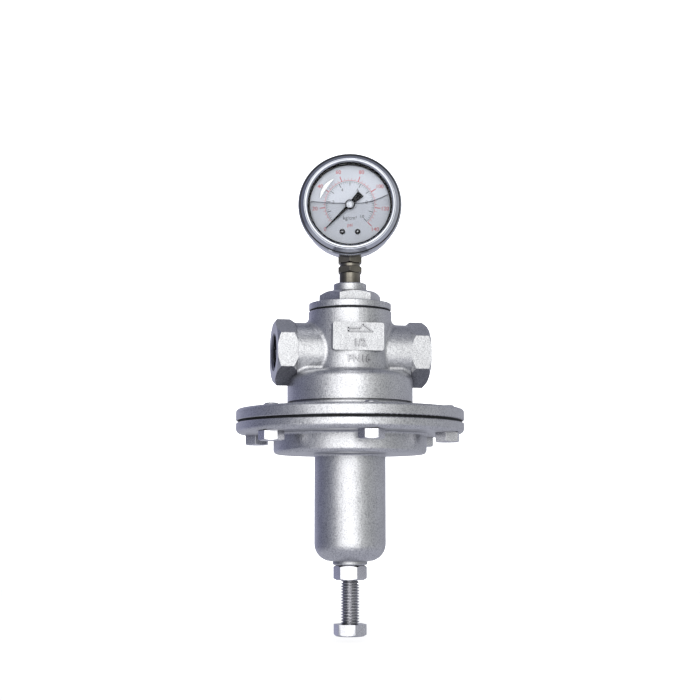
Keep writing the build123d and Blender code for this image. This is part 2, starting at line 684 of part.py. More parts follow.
with BuildPart() as closing_spring:
    add(
        coil_spring(
            level(DISC_TOP_Z),
            CLOSING_SPRING_R,
            CLOSING_SPRING_WIRE,
            PLUG_POCKET_TOP_Z - DISC_TOP_Z,
            CLOSING_SPRING_TURNS,
            ground=False,
        )
    )

# ---------------------------------------------------------------- diaphragm and its plates
with BuildPart() as diaphragm:
    with BuildSketch(level(DIAPHRAGM_BOTTOM_Z)):
        Circle(DIAPHRAGM_R)
        Circle(STEM_THREAD_R + FIT_GAP, mode=Mode.SUBTRACT)
        with PolarLocations(BOLT_CIRCLE_R, BOLT_COUNT, start_angle=FRONT):
            Circle(BOLT_HOLE_R, mode=Mode.SUBTRACT)
    extrude(amount=DIAPHRAGM_TOP_Z - DIAPHRAGM_BOTTOM_Z)

with BuildPart() as diaphragm_plate_upper:
    upper_plate_profile = outline(
        VALVE_SIDE,
        (STEM_THREAD_R + FIT_GAP, DIAPHRAGM_TOP_Z),
        (UPPER_PLATE_R, DIAPHRAGM_TOP_Z, PLATE_ROUND),
        (UPPER_PLATE_R, UPPER_PLATE_TOP_Z),
        (STEM_THREAD_R + FIT_GAP, UPPER_PLATE_TOP_Z),
    )
    revolve(upper_plate_profile, axis=VALVE_AXIS)

with BuildPart() as diaphragm_plate_lower:
    lower_plate_profile = outline(
        VALVE_SIDE,
        (STEM_THREAD_R + FIT_GAP, DIAPHRAGM_BOTTOM_Z),
        (LOWER_PLATE_R, DIAPHRAGM_BOTTOM_Z, PLATE_ROUND),
        (LOWER_PLATE_R, LOWER_PLATE_BOTTOM_Z),
        (LOWER_PLATE_HUB_R, LOWER_PLATE_BOTTOM_Z),
        (LOWER_PLATE_HUB_R, LOWER_PLATE_HUB_Z),
        (LOWER_PLATE_HUB_BORE_R, LOWER_PLATE_HUB_Z),
        (LOWER_PLATE_HUB_BORE_R, LOWER_PLATE_BOTTOM_Z),
        (STEM_THREAD_R + FIT_GAP, LOWER_PLATE_BOTTOM_Z),
    )
    revolve(lower_plate_profile, axis=VALVE_AXIS)

with BuildPart() as stem_washer:
    with BuildSketch(level(LOWER_PLATE_BOTTOM_Z)):
        Circle(WASHER_R)
        Circle(STEM_THREAD_R + FIT_GAP, mode=Mode.SUBTRACT)
    extrude(amount=-WASHER_THICKNESS)

with BuildPart() as stem_nut:
    nut_foot = level(LOWER_PLATE_BOTTOM_Z - WASHER_THICKNESS - STEM_NUT_HEIGHT)
    add(hex_block(nut_foot, STEM_NUT_AF, STEM_NUT_HEIGHT, low_bevel=True, high_bevel=True))
    with BuildSketch(nut_foot):
        Circle(STEM_THREAD_R + FIT_GAP)
    extrude(amount=STEM_NUT_HEIGHT, mode=Mode.SUBTRACT)

# ---------------------------------------------------------------- spring housing and adjustment
with BuildPart() as spring_housing:
    housing_outside = outline(
        VALVE_SIDE,
        (0, DIAPHRAGM_BOTTOM_Z),
        (FLANGE_R, DIAPHRAGM_BOTTOM_Z, JOINT_EDGE_ROUND),
        (FLANGE_R, HOUSING_FLANGE_BOTTOM_Z, HOUSING_FLANGE_ROUND),
        (HOUSING_BOWL_R, HOUSING_FLANGE_BOTTOM_Z, HOUSING_CORNER_FILLET),
        (HOUSING_BOWL_R, HOUSING_BOWL_BOTTOM_Z, HOUSING_BOWL_ROUND),
        (BARREL_R, HOUSING_BOWL_BOTTOM_Z, HOUSING_CORNER_FILLET),
        (BARREL_R, DOME_BOTTOM_Z, DOME_ROUND),
        (BOSS_R, DOME_BOTTOM_Z),
        (BOSS_R, BOSS_BOTTOM_Z + BOSS_BEVEL),
        (BOSS_R - BOSS_BEVEL, BOSS_BOTTOM_Z),
        (0, BOSS_BOTTOM_Z),
    )
    revolve(housing_outside, axis=VALVE_AXIS)
    housing_inside = outline(
        VALVE_SIDE,
        (0, DIAPHRAGM_BOTTOM_Z),
        (HOUSING_MOUTH_R + HOUSING_MOUTH_ROUND, DIAPHRAGM_BOTTOM_Z),
        (HOUSING_MOUTH_R, DIAPHRAGM_BOTTOM_Z - HOUSING_MOUTH_ROUND),
        (HOUSING_MOUTH_R, HOUSING_FLOOR_Z, HOUSING_FLOOR_ROUND),
        (BARREL_BORE_R, HOUSING_FLOOR_Z),
        (BARREL_BORE_R, DOME_BORE_BOTTOM_Z, DOME_BORE_ROUND),
        (SCREW_R + SCREW_CLEARANCE, DOME_BORE_BOTTOM_Z),
        (SCREW_R + SCREW_CLEARANCE, BOSS_BOTTOM_Z),
        (0, BOSS_BOTTOM_Z),
    )
    revolve(housing_inside, axis=VALVE_AXIS, mode=Mode.SUBTRACT)
    with BuildSketch(level(DIAPHRAGM_BOTTOM_Z)):
        with PolarLocations(BOLT_CIRCLE_R, BOLT_COUNT, start_angle=FRONT):
            Circle(BOLT_HOLE_R)
    extrude(amount=HOUSING_FLANGE_BOTTOM_Z - DIAPHRAGM_BOTTOM_Z, mode=Mode.SUBTRACT)
    with BuildSketch(VALVE_SIDE):
        with Locations((0, VENT_Z)):
            Circle(VENT_R)
    extrude(amount=-FLANGE_R, mode=Mode.SUBTRACT)

with BuildPart() as flange_bolts:
    for index, turn in enumerate(BOLT_HEAD_TURNS):
        direction = radians(FRONT + index * 360 / BOLT_COUNT)
        bolt_x = VALVE_X + BOLT_CIRCLE_R * cos(direction)
        bolt_y = BOLT_CIRCLE_R * sin(direction)
        seat = Plane(
            (bolt_x, bolt_y, HOUSING_FLANGE_BOTTOM_Z),
            x_dir=(cos(radians(turn)), sin(radians(turn)), 0),
            z_dir=(0, 0, 1),
        )
        foot = seat.offset(-BOLT_HEAD_HEIGHT)
        add(hex_block(foot, BOLT_HEAD_AF, BOLT_HEAD_HEIGHT, low_bevel=True))
        with BuildSketch(seat):
            Circle(BOLT_R)
        extrude(amount=BOLT_TIP_Z - HOUSING_FLANGE_BOTTOM_Z)
        chamfer(edges(Select.LAST).sort_by(Axis.Z)[-1], BOLT_TIP_BEVEL)

with BuildPart() as range_spring:
    add(
        coil_spring(
            level(BUTTON_TOP_Z),
            RANGE_SPRING_R,
            RANGE_SPRING_WIRE,
            LOWER_PLATE_BOTTOM_Z - BUTTON_TOP_Z,
            RANGE_SPRING_TURNS,
            ground=True,
        )
    )

with BuildPart() as spring_button:
    button_profile = outline(
        VALVE_SIDE,
        (0, SCREW_TIP_Z),
        (BUTTON_SOCKET_R, SCREW_TIP_Z),
        (BUTTON_SOCKET_R, BUTTON_BOTTOM_Z),
        (BUTTON_R, BUTTON_BOTTOM_Z),
        (BUTTON_R, BUTTON_TOP_Z),
        (BUTTON_HUB_R, BUTTON_TOP_Z),
        (BUTTON_HUB_R, BUTTON_HUB_TOP_Z),
        (0, BUTTON_HUB_TOP_Z),
    )
    revolve(button_profile, axis=VALVE_AXIS)

with BuildPart() as adjusting_screw:
    screw_profile = outline(
        VALVE_SIDE,
        (0, SCREW_HEAD_TOP_Z),
        (SCREW_R, SCREW_HEAD_TOP_Z),
        (SCREW_R, SCREW_TIP_Z - SCREW_TIP_BEVEL),
        (SCREW_R - SCREW_TIP_BEVEL, SCREW_TIP_Z),
        (0, SCREW_TIP_Z),
    )
    revolve(screw_profile, axis=VALVE_AXIS)
    head_foot = level(SCREW_HEAD_TOP_Z - SCREW_HEAD_HEIGHT, SCREW_HEAD_TURN)
    add(hex_block(head_foot, SCREW_HEAD_AF, SCREW_HEAD_HEIGHT, low_bevel=True))

with BuildPart() as lock_nut:
    lock_nut_foot = level(BOSS_BOTTOM_Z - LOCK_NUT_HEIGHT, LOCK_NUT_TURN)
    add(hex_block(lock_nut_foot, LOCK_NUT_AF, LOCK_NUT_HEIGHT, low_bevel=True, high_bevel=True))
    with BuildSketch(lock_nut_foot):
        Circle(SCREW_R + SCREW_CLEARANCE)
    extrude(amount=LOCK_NUT_HEIGHT, mode=Mode.SUBTRACT)

# ---------------------------------------------------------------- gauge: socket, case and window
with BuildPart() as bourdon_tube:
    with BuildSketch(gauge_side(TUBE_END_ANGLE)):
        with Locations(Location((TUBE_R, TUBE_MID, 0), (0, 0, 90))):
            SlotOverall(TUBE_WIDTH, TUBE_THICKNESS)
            SlotOverall(TUBE_WIDTH - 2 * TUBE_WALL, TUBE_THICKNESS - 2 * TUBE_WALL, mode=Mode.SUBTRACT)
    revolve(axis=GAUGE_AXIS, revolution_arc=TUBE_START_ANGLE - TUBE_END_ANGLE)

with BuildPart() as gauge_socket:
    socket_profile = outline(
        VALVE_SIDE,
        (0, GAUGE_THREAD_BOTTOM_Z + SOCKET_GAP),
        (GAUGE_THREAD_R - SOCKET_GAP, GAUGE_THREAD_BOTTOM_Z + SOCKET_GAP),
        (GAUGE_THREAD_R - SOCKET_GAP, PLUG_BOSS_TOP_Z),
        (SHANK_R, PLUG_BOSS_TOP_Z),
        (SHANK_R, SHANK_TOP_Z),
        (WRENCH_GROOVE_R, SHANK_TOP_Z),
        (WRENCH_GROOVE_R, WRENCH_HIGH_TOP_Z),
        (COLLAR_R, WRENCH_HIGH_TOP_Z),
        (COLLAR_R, COLLAR_TOP_Z),
        (0, COLLAR_TOP_Z),
    )
    revolve(socket_profile, axis=VALVE_AXIS)
    low_foot = level(SHANK_TOP_Z, FRONT - GAUGE_TURN)
    low_height = WRENCH_LOW_TOP_Z - SHANK_TOP_Z
    add(hex_block(low_foot, WRENCH_AF, low_height, low_bevel=True, high_bevel=True))
    high_foot = level(WRENCH_GROOVE_TOP_Z, FRONT - GAUGE_TURN)
    high_height = WRENCH_HIGH_TOP_Z - WRENCH_GROOVE_TOP_Z
    add(hex_block(high_foot, WRENCH_AF, high_height, low_bevel=True))
    with BuildSketch(GAUGE_FACE.offset(SOCKET_HEAD_BACK)):
        with Locations((0, (COLLAR_TOP_Z + SOCKET_HEAD_TOP_Z) / 2 - GAUGE_CENTRE_Z)):
            Rectangle(SOCKET_HEAD_WIDTH, SOCKET_HEAD_TOP_Z - COLLAR_TOP_Z)
    extrude(amount=SOCKET_HEAD_FRONT - SOCKET_HEAD_BACK)
    with BuildSketch(level(GAUGE_THREAD_BOTTOM_Z + SOCKET_GAP)):
        Circle(SOCKET_BORE_R)
    extrude(amount=COLLAR_TOP_Z - GAUGE_THREAD_BOTTOM_Z, mode=Mode.SUBTRACT)
    with BuildSketch(gauge_side(TUBE_START_ANGLE - TIP_ANGLE)):
        with Locations(Location((TUBE_R, TUBE_MID, 0), (0, 0, 90))):
            SlotOverall(TUBE_WIDTH, TUBE_THICKNESS)
    revolve(axis=GAUGE_AXIS, revolution_arc=TIP_ANGLE, mode=Mode.SUBTRACT)

with BuildPart() as gauge_case:
    case_profile = outline(
        GAUGE_SIDE,
        (0, CASE_BACK),
        (CASE_R, CASE_BACK, CASE_BACK_ROUND),
        (CASE_R, CASE_FLANGE_BACK),
        (CASE_FLANGE_R, CASE_FLANGE_BACK),
        (CASE_FLANGE_R, CASE_FRONT),
        (CASE_R - CASE_WALL, CASE_FRONT),
        (CASE_R - CASE_WALL, CASE_BACK + CASE_WALL, CASE_BACK_ROUND - CASE_WALL),
        (0, CASE_BACK + CASE_WALL),
    )
    revolve(case_profile, axis=GAUGE_AXIS)
    with BuildSketch(level(COLLAR_TOP_Z)):
        Circle(CASE_HOLE_R)
    extrude(amount=WRENCH_HIGH_TOP_Z - COLLAR_TOP_Z, mode=Mode.SUBTRACT)
    with BuildSketch(level(GAUGE_CENTRE_Z)):
        Circle(FILL_HOLE_R)
    extrude(amount=CASE_R, mode=Mode.SUBTRACT)

with BuildPart() as fill_plug:
    fill_profile = outline(
        VALVE_SIDE,
        (0, GAUGE_CENTRE_Z + FILL_PLUG_FOOT),
        (FILL_HOLE_R - FIT_GAP, GAUGE_CENTRE_Z + FILL_PLUG_FOOT),
        (FILL_HOLE_R - FIT_GAP, GAUGE_CENTRE_Z + FILL_PLUG_CAP_BOTTOM),
        (FILL_PLUG_CAP_R, GAUGE_CENTRE_Z + FILL_PLUG_CAP_BOTTOM),
        (FILL_PLUG_CAP_R, GAUGE_CENTRE_Z + FILL_PLUG_CAP_TOP, FILL_PLUG_ROUND),
        (0, GAUGE_CENTRE_Z + FILL_PLUG_CAP_TOP),
    )
    revolve(fill_profile, axis=VALVE_AXIS)

with BuildPart() as gauge_bezel:
    bezel_profile = outline(
        GAUGE_SIDE,
        (BEZEL_LIP_R, BEZEL_BACK),
        (BEZEL_R, BEZEL_BACK),
        (BEZEL_R, BEZEL_FRONT, BEZEL_ROUND),
        (BEZEL_CROWN_R, BEZEL_FRONT, BEZEL_CROWN_ROUND),
        (BEZEL_WINDOW_R, LENS_FRONT),
        (BEZEL_LIP_R, LENS_FRONT),
        (BEZEL_BORE_R, LENS_FRONT - (BEZEL_BORE_R - BEZEL_LIP_R)),
        (BEZEL_BORE_R, CASE_FLANGE_BACK),
        (BEZEL_LIP_R, CASE_FLANGE_BACK),
    )
    revolve(bezel_profile, axis=GAUGE_AXIS)

with BuildPart() as gauge_lens:
    with BuildSketch(GAUGE_FACE.offset(LENS_BACK)):
        Circle(LENS_R)
    extrude(amount=LENS_FRONT - LENS_BACK)

with BuildPart() as lens_gasket:
    lens_gasket_profile = outline(
        GAUGE_SIDE,
        (LENS_GASKET_INNER_R, CASE_FRONT),
        (CASE_FLANGE_R, CASE_FRONT),
        (CASE_FLANGE_R, LENS_BACK),
        (LENS_GASKET_INNER_R, LENS_BACK),
    )
    revolve(lens_gasket_profile, axis=GAUGE_AXIS)

# ---------------------------------------------------------------- gauge: movement
with BuildPart() as movement_back_plate:
    with BuildSketch(GAUGE_FACE.offset(BACK_PLATE_BACK)):
        with Locations((0, (PLATE_TOP + PLATE_BOTTOM) / 2)):
            RectangleRounded(PLATE_WIDTH, PLATE_TOP - PLATE_BOTTOM, PLATE_CORNER)
        Circle(SHAFT_R + SHAFT_GAP, mode=Mode.SUBTRACT)
        with Locations((0, SECTOR_PIVOT_Y)):
            Circle(SHAFT_R + SHAFT_GAP, mode=Mode.SUBTRACT)
    extrude(amount=BACK_PLATE_FRONT - BACK_PLATE_BACK)

with BuildPart() as movement_front_plate:
    with BuildSketch(GAUGE_FACE.offset(FRONT_PLATE_BACK)):
        with Locations((0, (PLATE_TOP + PLATE_BOTTOM) / 2)):
            RectangleRounded(PLATE_WIDTH, PLATE_TOP - PLATE_BOTTOM, PLATE_CORNER)
        Circle(SHAFT_R + SHAFT_GAP, mode=Mode.SUBTRACT)
        with Locations((0, SECTOR_PIVOT_Y)):
            Circle(SHAFT_R + SHAFT_GAP, mode=Mode.SUBTRACT)
        with Locations(*PILLARS):
            Circle(PLATE_SCREW_R + FIT_GAP, mode=Mode.SUBTRACT)
    extrude(amount=FRONT_PLATE_FRONT - FRONT_PLATE_BACK)
    with BuildSketch(GAUGE_FACE.offset(FRONT_PLATE_FRONT)):
        with Locations((-DIAL_SCREW_X, DIAL_SCREW_Y), (DIAL_SCREW_X, DIAL_SCREW_Y)):
            Circle(POST_R)
    extrude(amount=DIAL_BACK - FRONT_PLATE_FRONT)
    with BuildSketch(GAUGE_FACE.offset(FRONT_PLATE_BACK)):
        with Locations((-DIAL_SCREW_X, DIAL_SCREW_Y), (DIAL_SCREW_X, DIAL_SCREW_Y)):
            Circle(DIAL_SCREW_R + FIT_GAP)
    extrude(amount=DIAL_BACK - FRONT_PLATE_BACK, mode=Mode.SUBTRACT)

with BuildPart() as movement_pillars:
    with BuildSketch(GAUGE_FACE.offset(BACK_PLATE_FRONT)):
        with Locations(*PILLARS):
            Circle(PILLAR_R)
            Circle(PLATE_SCREW_R + FIT_GAP, mode=Mode.SUBTRACT)
    extrude(amount=FRONT_PLATE_BACK - BACK_PLATE_FRONT)

with BuildPart() as movement_screws:
    with BuildSketch(GAUGE_FACE.offset(BACK_PLATE_FRONT)):
        with Locations(*PILLARS):
            Circle(PLATE_SCREW_R)
    extrude(amount=FRONT_PLATE_FRONT - BACK_PLATE_FRONT)
    with BuildSketch(GAUGE_FACE.offset(FRONT_PLATE_FRONT)):
        with Locations(*PILLARS):
            Circle(PLATE_SCREW_HEAD_R)
    extrude(amount=PLATE_SCREW_HEAD)

with BuildPart() as pinion_shaft:
    with BuildSketch(GAUGE_FACE.offset(SHAFT_BACK)):
        Circle(SHAFT_R)
    extrude(amount=SHAFT_FRONT - SHAFT_BACK)
    with BuildSketch(GAUGE_FACE.offset(PINION_BACK)):
        Circle(PINION_PITCH_R - TOOTH_ROOT)
    extrude(amount=PINION_FRONT - PINION_BACK)
    for index in range(PINION_TEETH):
        pinion_angle = FRONT + (index + 1 / 2) * 360 / PINION_TEETH
        pinion_tooth = tooth(GAUGE_FACE.offset(PINION_BACK), PINION_PITCH_R, pinion_angle)
        extrude(pinion_tooth, amount=PINION_FRONT - PINION_BACK)

SECTOR_PIVOT = Plane(
    (VALVE_X, 0, GAUGE_CENTRE_Z + SECTOR_PIVOT_Y),
    x_dir=GAUGE_RIGHT,
    z_dir=GAUGE_OUT,
)
tail_tip = (
    SECTOR_TAIL_LENGTH * cos(radians(SECTOR_TAIL_ANGLE)),
    SECTOR_TAIL_LENGTH * sin(radians(SECTOR_TAIL_ANGLE)),
)
with BuildPart() as sector_gear:
    rim_outer_r = SECTOR_PITCH_R - TOOTH_ROOT
    spoke_length = rim_outer_r - SECTOR_RIM / 2
    rim_start = SECTOR_FIRST_TOOTH - SECTOR_TOOTH_STEP / 2
    rim_arc = SECTOR_TEETH * SECTOR_TOOTH_STEP
    with BuildSketch(SECTOR_PIVOT.offset(SECTOR_BACK)):
        with BuildLine():
            rim_outer = CenterArc((0, 0), rim_outer_r, rim_start, rim_arc)
            rim_inner = CenterArc((0, 0), rim_outer_r - SECTOR_RIM, rim_start, rim_arc)
            Line(rim_outer @ 0, rim_inner @ 0)
            Line(rim_outer @ 1, rim_inner @ 1)
        make_face()
        Circle(SECTOR_HUB_R)
        for spoke_angle in (rim_start + SECTOR_TOOTH_STEP, rim_start + rim_arc - SECTOR_TOOTH_STEP):
            with Locations(Location((0, 0, 0), (0, 0, spoke_angle))):
                Rectangle(spoke_length, SECTOR_ARM_WIDTH / 2, align=(Align.MIN, Align.CENTER))
        with Locations(Location((0, 0, 0), (0, 0, SECTOR_TAIL_ANGLE))):
            Rectangle(SECTOR_TAIL_LENGTH, SECTOR_ARM_WIDTH, align=(Align.MIN, Align.CENTER))
        with Locations(tail_tip):
            Circle(SECTOR_ARM_WIDTH / 2)
    extrude(amount=SECTOR_FRONT - SECTOR_BACK)
    for index in range(SECTOR_TEETH):
        sector_angle = SECTOR_FIRST_TOOTH + index * SECTOR_TOOTH_STEP
        sector_tooth = tooth(SECTOR_PIVOT.offset(SECTOR_BACK), SECTOR_PITCH_R, sector_angle)
        extrude(sector_tooth, amount=SECTOR_FRONT - SECTOR_BACK)
    with BuildSketch(SECTOR_PIVOT.offset(SHAFT_BACK)):
        Circle(SHAFT_R)
    extrude(amount=FRONT_PLATE_FRONT - SHAFT_BACK)
    with BuildSketch(SECTOR_PIVOT.offset(SECTOR_FRONT)):
        with Locations(tail_tip):
            Circle(PIN_R)
    extrude(amount=LINK_FRONT - SECTOR_FRONT)

tip_mid_angle = radians(TUBE_END_ANGLE - TIP_ANGLE / 2)
tip_pin = (TUBE_R * cos(tip_mid_angle), TUBE_R * sin(tip_mid_angle))
tail_pin = (tail_tip[0], tail_tip[1] + SECTOR_PIVOT_Y)
with BuildPart() as link:
    with BuildSketch(GAUGE_FACE.offset(LINK_BACK)):
        with BuildLine():
            Line(tail_pin, tip_pin)
        trace(line_width=LINK_WIDTH)
        with Locations(tail_pin, tip_pin):
            Circle(LINK_WIDTH / 2)
        with Locations(tail_pin, tip_pin):
            Circle(PIN_R + SHAFT_GAP, mode=Mode.SUBTRACT)
    extrude(amount=LINK_FRONT - LINK_BACK)

with BuildPart() as tube_tip:
    with BuildSketch(gauge_side(TUBE_END_ANGLE - TIP_ANGLE)):
        with Locations((TUBE_R, TUBE_MID)):
            Rectangle(TIP_THICKNESS, TIP_WIDTH)
    revolve(axis=GAUGE_AXIS, revolution_arc=TIP_ANGLE)
    with BuildSketch(GAUGE_FACE.offset(TUBE_MID)):
        with Locations(tip_pin):
            Circle(PIN_R)
    extrude(amount=LINK_FRONT - TUBE_MID)

with BuildPart() as hairspring:
    with BuildSketch(GAUGE_FACE.offset(HAIRSPRING_BACK)):
        with BuildLine():
            for index in range(HAIRSPRING_HALF_TURNS):
                side_of_centre = 1 if index % 2 else -1
                CenterArc(
                    (side_of_centre * HAIRSPRING_PITCH / 4, 0),
                    HAIRSPRING_INNER_R + index * HAIRSPRING_PITCH / 2,
                    180 * index,
                    180,
                )
        trace(line_width=HAIRSPRING_RIBBON)
    extrude(amount=HAIRSPRING_FRONT - HAIRSPRING_BACK)

# ---------------------------------------------------------------- gauge: dial and pointer
with BuildPart() as dial_plate:
    with BuildSketch(GAUGE_FACE.offset(DIAL_BACK)):
        Circle(DIAL_R)
        Circle(DIAL_HOLE_R, mode=Mode.SUBTRACT)
        with Locations((-DIAL_SCREW_X, DIAL_SCREW_Y), (DIAL_SCREW_X, DIAL_SCREW_Y)):
            Circle(DIAL_SCREW_R + FIT_GAP, mode=Mode.SUBTRACT)
    extrude(amount=DIAL_FRONT - DIAL_BACK)

with BuildPart() as dial_screws:
    with BuildSketch(GAUGE_FACE.offset(FRONT_PLATE_BACK)):
        with Locations((-DIAL_SCREW_X, DIAL_SCREW_Y), (DIAL_SCREW_X, DIAL_SCREW_Y)):
            Circle(DIAL_SCREW_R)
    extrude(amount=DIAL_FRONT - FRONT_PLATE_BACK)
    with BuildSketch(GAUGE_FACE.offset(DIAL_FRONT)):
        with Locations((-DIAL_SCREW_X, DIAL_SCREW_Y), (DIAL_SCREW_X, DIAL_SCREW_Y)):
            Circle(DIAL_SCREW_HEAD_R)
    extrude(amount=DIAL_SCREW_HEAD)
    with BuildSketch(GAUGE_FACE.offset(DIAL_FRONT + DIAL_SCREW_HEAD)):
        with Locations((-DIAL_SCREW_X, DIAL_SCREW_Y), (DIAL_SCREW_X, DIAL_SCREW_Y)):
            Rectangle(2 * DIAL_SCREW_HEAD_R, DIAL_SCREW_SLOT)
    extrude(amount=-DIAL_SCREW_SLOT, mode=Mode.SUBTRACT)

with BuildPart() as pointer:
    needle = outline(
        gauge_face(POINTER_ZERO_ANGLE).offset(POINTER_BACK),
        (0, -POINTER_ROOT_WIDTH / 2),
        (POINTER_LENGTH, -POINTER_TIP_WIDTH / 2),
        (POINTER_LENGTH, POINTER_TIP_WIDTH / 2),
        (0, POINTER_ROOT_WIDTH / 2),
        (-POINTER_TAIL_LENGTH, POINTER_TAIL_WIDTH / 2),
        (-POINTER_TAIL_LENGTH, -POINTER_TAIL_WIDTH / 2),
    )
    extrude(needle, amount=POINTER_FRONT - POINTER_BACK)
    with BuildSketch(GAUGE_FACE.offset(POINTER_BACK)):
        Circle(HUB_R)
    extrude(amount=POINTER_FRONT - POINTER_BACK)
    with BuildSketch(GAUGE_FACE.offset(POINTER_BACK)):
        Circle(SHAFT_R)
    extrude(amount=POINTER_FRONT - POINTER_BACK, mode=Mode.SUBTRACT)

with BuildPart() as pointer_hub:
    hub_profile = outline(
        GAUGE_SIDE,
        (SHAFT_R, POINTER_FRONT),
        (HUB_R, POINTER_FRONT),
        (HUB_R, HUB_FRONT, FIT_GAP * 2),
        (HUB_CAP_R, HUB_FRONT),
        (HUB_CAP_R, HUB_CAP_FRONT, FIT_GAP * 4),
        (0, HUB_CAP_FRONT),
        (0, SHAFT_FRONT),
        (SHAFT_R, SHAFT_FRONT),
    )
    revolve(hub_profile, axis=GAUGE_AXIS)

# ---------------------------------------------------------------- export
PIECES = {
    "valve_body": valve_body,
    "seat_ring": seat_ring,
    "guide_bush": guide_bush,
    "stem": stem,
    "stem_oring": stem_oring,
    "disc_seal": disc_seal,
    "disc_holder": disc_holder,
    "disc_nut": disc_nut,
    "closing_spring": closing_spring,
    "top_plug": top_plug,
    "plug_gasket": plug_gasket,
    "diaphragm": diaphragm,
    "diaphragm_plate_upper": diaphragm_plate_upper,
    "diaphragm_plate_lower": diaphragm_plate_lower,
    "stem_washer": stem_washer,
    "stem_nut": stem_nut,
    "spring_housing": spring_housing,
    "flange_bolts": flange_bolts,
    "range_spring": range_spring,
    "spring_button": spring_button,
    "adjusting_screw": adjusting_screw,
    "lock_nut": lock_nut,
    "gauge_socket": gauge_socket,
    "gauge_case": gauge_case,
    "fill_plug": fill_plug,
    "gauge_bezel": gauge_bezel,
    "gauge_lens": gauge_lens,
    "lens_gasket": lens_gasket,
    "bourdon_tube": bourdon_tube,
    "tube_tip": tube_tip,
    "link": link,
    "sector_gear": sector_gear,
    "pinion_shaft": pinion_shaft,
    "hairspring": hairspring,
    "movement_back_plate": movement_back_plate,
    "movement_front_plate": movement_front_plate,
    "movement_pillars": movement_pillars,
    "movement_screws": movement_screws,
    "dial_plate": dial_plate,
    "dial_screws": dial_screws,
    "pointer": pointer,
    "pointer_hub": pointer_hub,
}
os.makedirs("parts", exist_ok=True)
for name, piece in PIECES.items():
    piece.part.label = name
    export_step(piece.part, f"parts/{name}.step")
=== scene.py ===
import json
import math

import bmesh
import bpy
from mathutils import Matrix, Vector


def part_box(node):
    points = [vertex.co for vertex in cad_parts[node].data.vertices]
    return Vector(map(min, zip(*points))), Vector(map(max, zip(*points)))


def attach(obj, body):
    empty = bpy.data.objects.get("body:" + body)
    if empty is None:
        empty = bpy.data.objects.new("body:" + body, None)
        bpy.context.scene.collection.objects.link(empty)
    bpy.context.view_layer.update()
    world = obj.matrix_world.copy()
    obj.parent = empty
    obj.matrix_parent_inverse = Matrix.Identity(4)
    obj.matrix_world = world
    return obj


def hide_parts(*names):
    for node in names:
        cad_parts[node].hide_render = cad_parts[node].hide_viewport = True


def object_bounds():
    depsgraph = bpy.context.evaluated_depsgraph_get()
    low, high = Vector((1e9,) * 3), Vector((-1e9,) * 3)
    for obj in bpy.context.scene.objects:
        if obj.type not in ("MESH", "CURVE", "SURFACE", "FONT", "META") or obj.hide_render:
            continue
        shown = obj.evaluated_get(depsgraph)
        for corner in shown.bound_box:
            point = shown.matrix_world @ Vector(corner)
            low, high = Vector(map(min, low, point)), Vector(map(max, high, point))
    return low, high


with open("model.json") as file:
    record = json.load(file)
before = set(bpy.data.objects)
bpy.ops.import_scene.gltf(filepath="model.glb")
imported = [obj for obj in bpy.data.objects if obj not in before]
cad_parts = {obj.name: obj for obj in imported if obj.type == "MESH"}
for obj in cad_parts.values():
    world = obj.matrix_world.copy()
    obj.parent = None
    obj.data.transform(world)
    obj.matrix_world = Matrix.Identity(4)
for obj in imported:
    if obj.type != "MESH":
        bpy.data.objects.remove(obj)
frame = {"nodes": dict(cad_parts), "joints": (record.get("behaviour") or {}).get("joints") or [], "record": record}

# A half-inch pressure reducing valve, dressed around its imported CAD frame. The frame gives the places.
# Everything is in metres; sizes below are written in millimetres times MM. Named angles are in degrees.
MM = 0.001
INCH = 25.4 * MM
CAD_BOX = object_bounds()
NODES = frame["nodes"]
JOINTS = {joint["name"]: joint for joint in frame["joints"]}


# ------------------------------------------------------------------ places, from the frame
def middle(node):
    """The centre of a CAD node's box."""
    low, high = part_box(node)
    return (low + high) / 2


def reach(node, origin, direction):
    """How far a CAD node lies from a point along a direction, as (least, most)."""
    along = [(vertex.co - origin).dot(direction) for vertex in NODES[node].data.vertices]
    return min(along), max(along)


UP = Vector((0, 0, 1))
VALVE_X = middle("stem").x
GAUGE_OUT = -Vector(JOINTS["gauge_pointer"]["axis"])
GAUGE_RIGHT = UP.cross(GAUGE_OUT)
GAUGE_CENTRE = Vector((VALVE_X, 0, JOINTS["gauge_pointer"]["pos_m"][2]))
DIAL_DEPTH = reach("dial_plate", GAUGE_CENTRE, GAUGE_OUT)[1]
DIAL_R = reach("dial_plate", GAUGE_CENTRE, GAUGE_RIGHT)[1]
LENS_DEPTH = reach("gauge_lens", GAUGE_CENTRE, GAUGE_OUT)
BEZEL_DEPTH = reach("gauge_bezel", GAUGE_CENTRE, GAUGE_OUT)
BEZEL_R = reach("gauge_bezel", GAUGE_CENTRE, GAUGE_RIGHT)[1]
HUB_DEPTH = reach("pointer_hub", GAUGE_CENTRE, GAUGE_OUT)
HUB_R = reach("pointer_hub", GAUGE_CENTRE, GAUGE_RIGHT)[1]
SCREW_LOW, SCREW_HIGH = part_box("adjusting_screw")
PORT_MOUNTS = [mount for mount in frame["record"]["mounts"] if mount["kind"] == "threaded_hole"]

# x to the dial's right, y up it, z out of it
DIAL_TURN = Matrix((GAUGE_RIGHT, UP, GAUGE_OUT)).transposed().to_4x4()
DIAL_FRAME = Matrix.Translation(GAUGE_CENTRE) @ DIAL_TURN
VALVE_FRAME = Matrix.Translation((VALVE_X, 0, 0))
# x along the pad, y up it, z out of the valve's front
FRONT_FRAME = VALVE_FRAME @ Matrix.Rotation(math.radians(90), 4, "X")


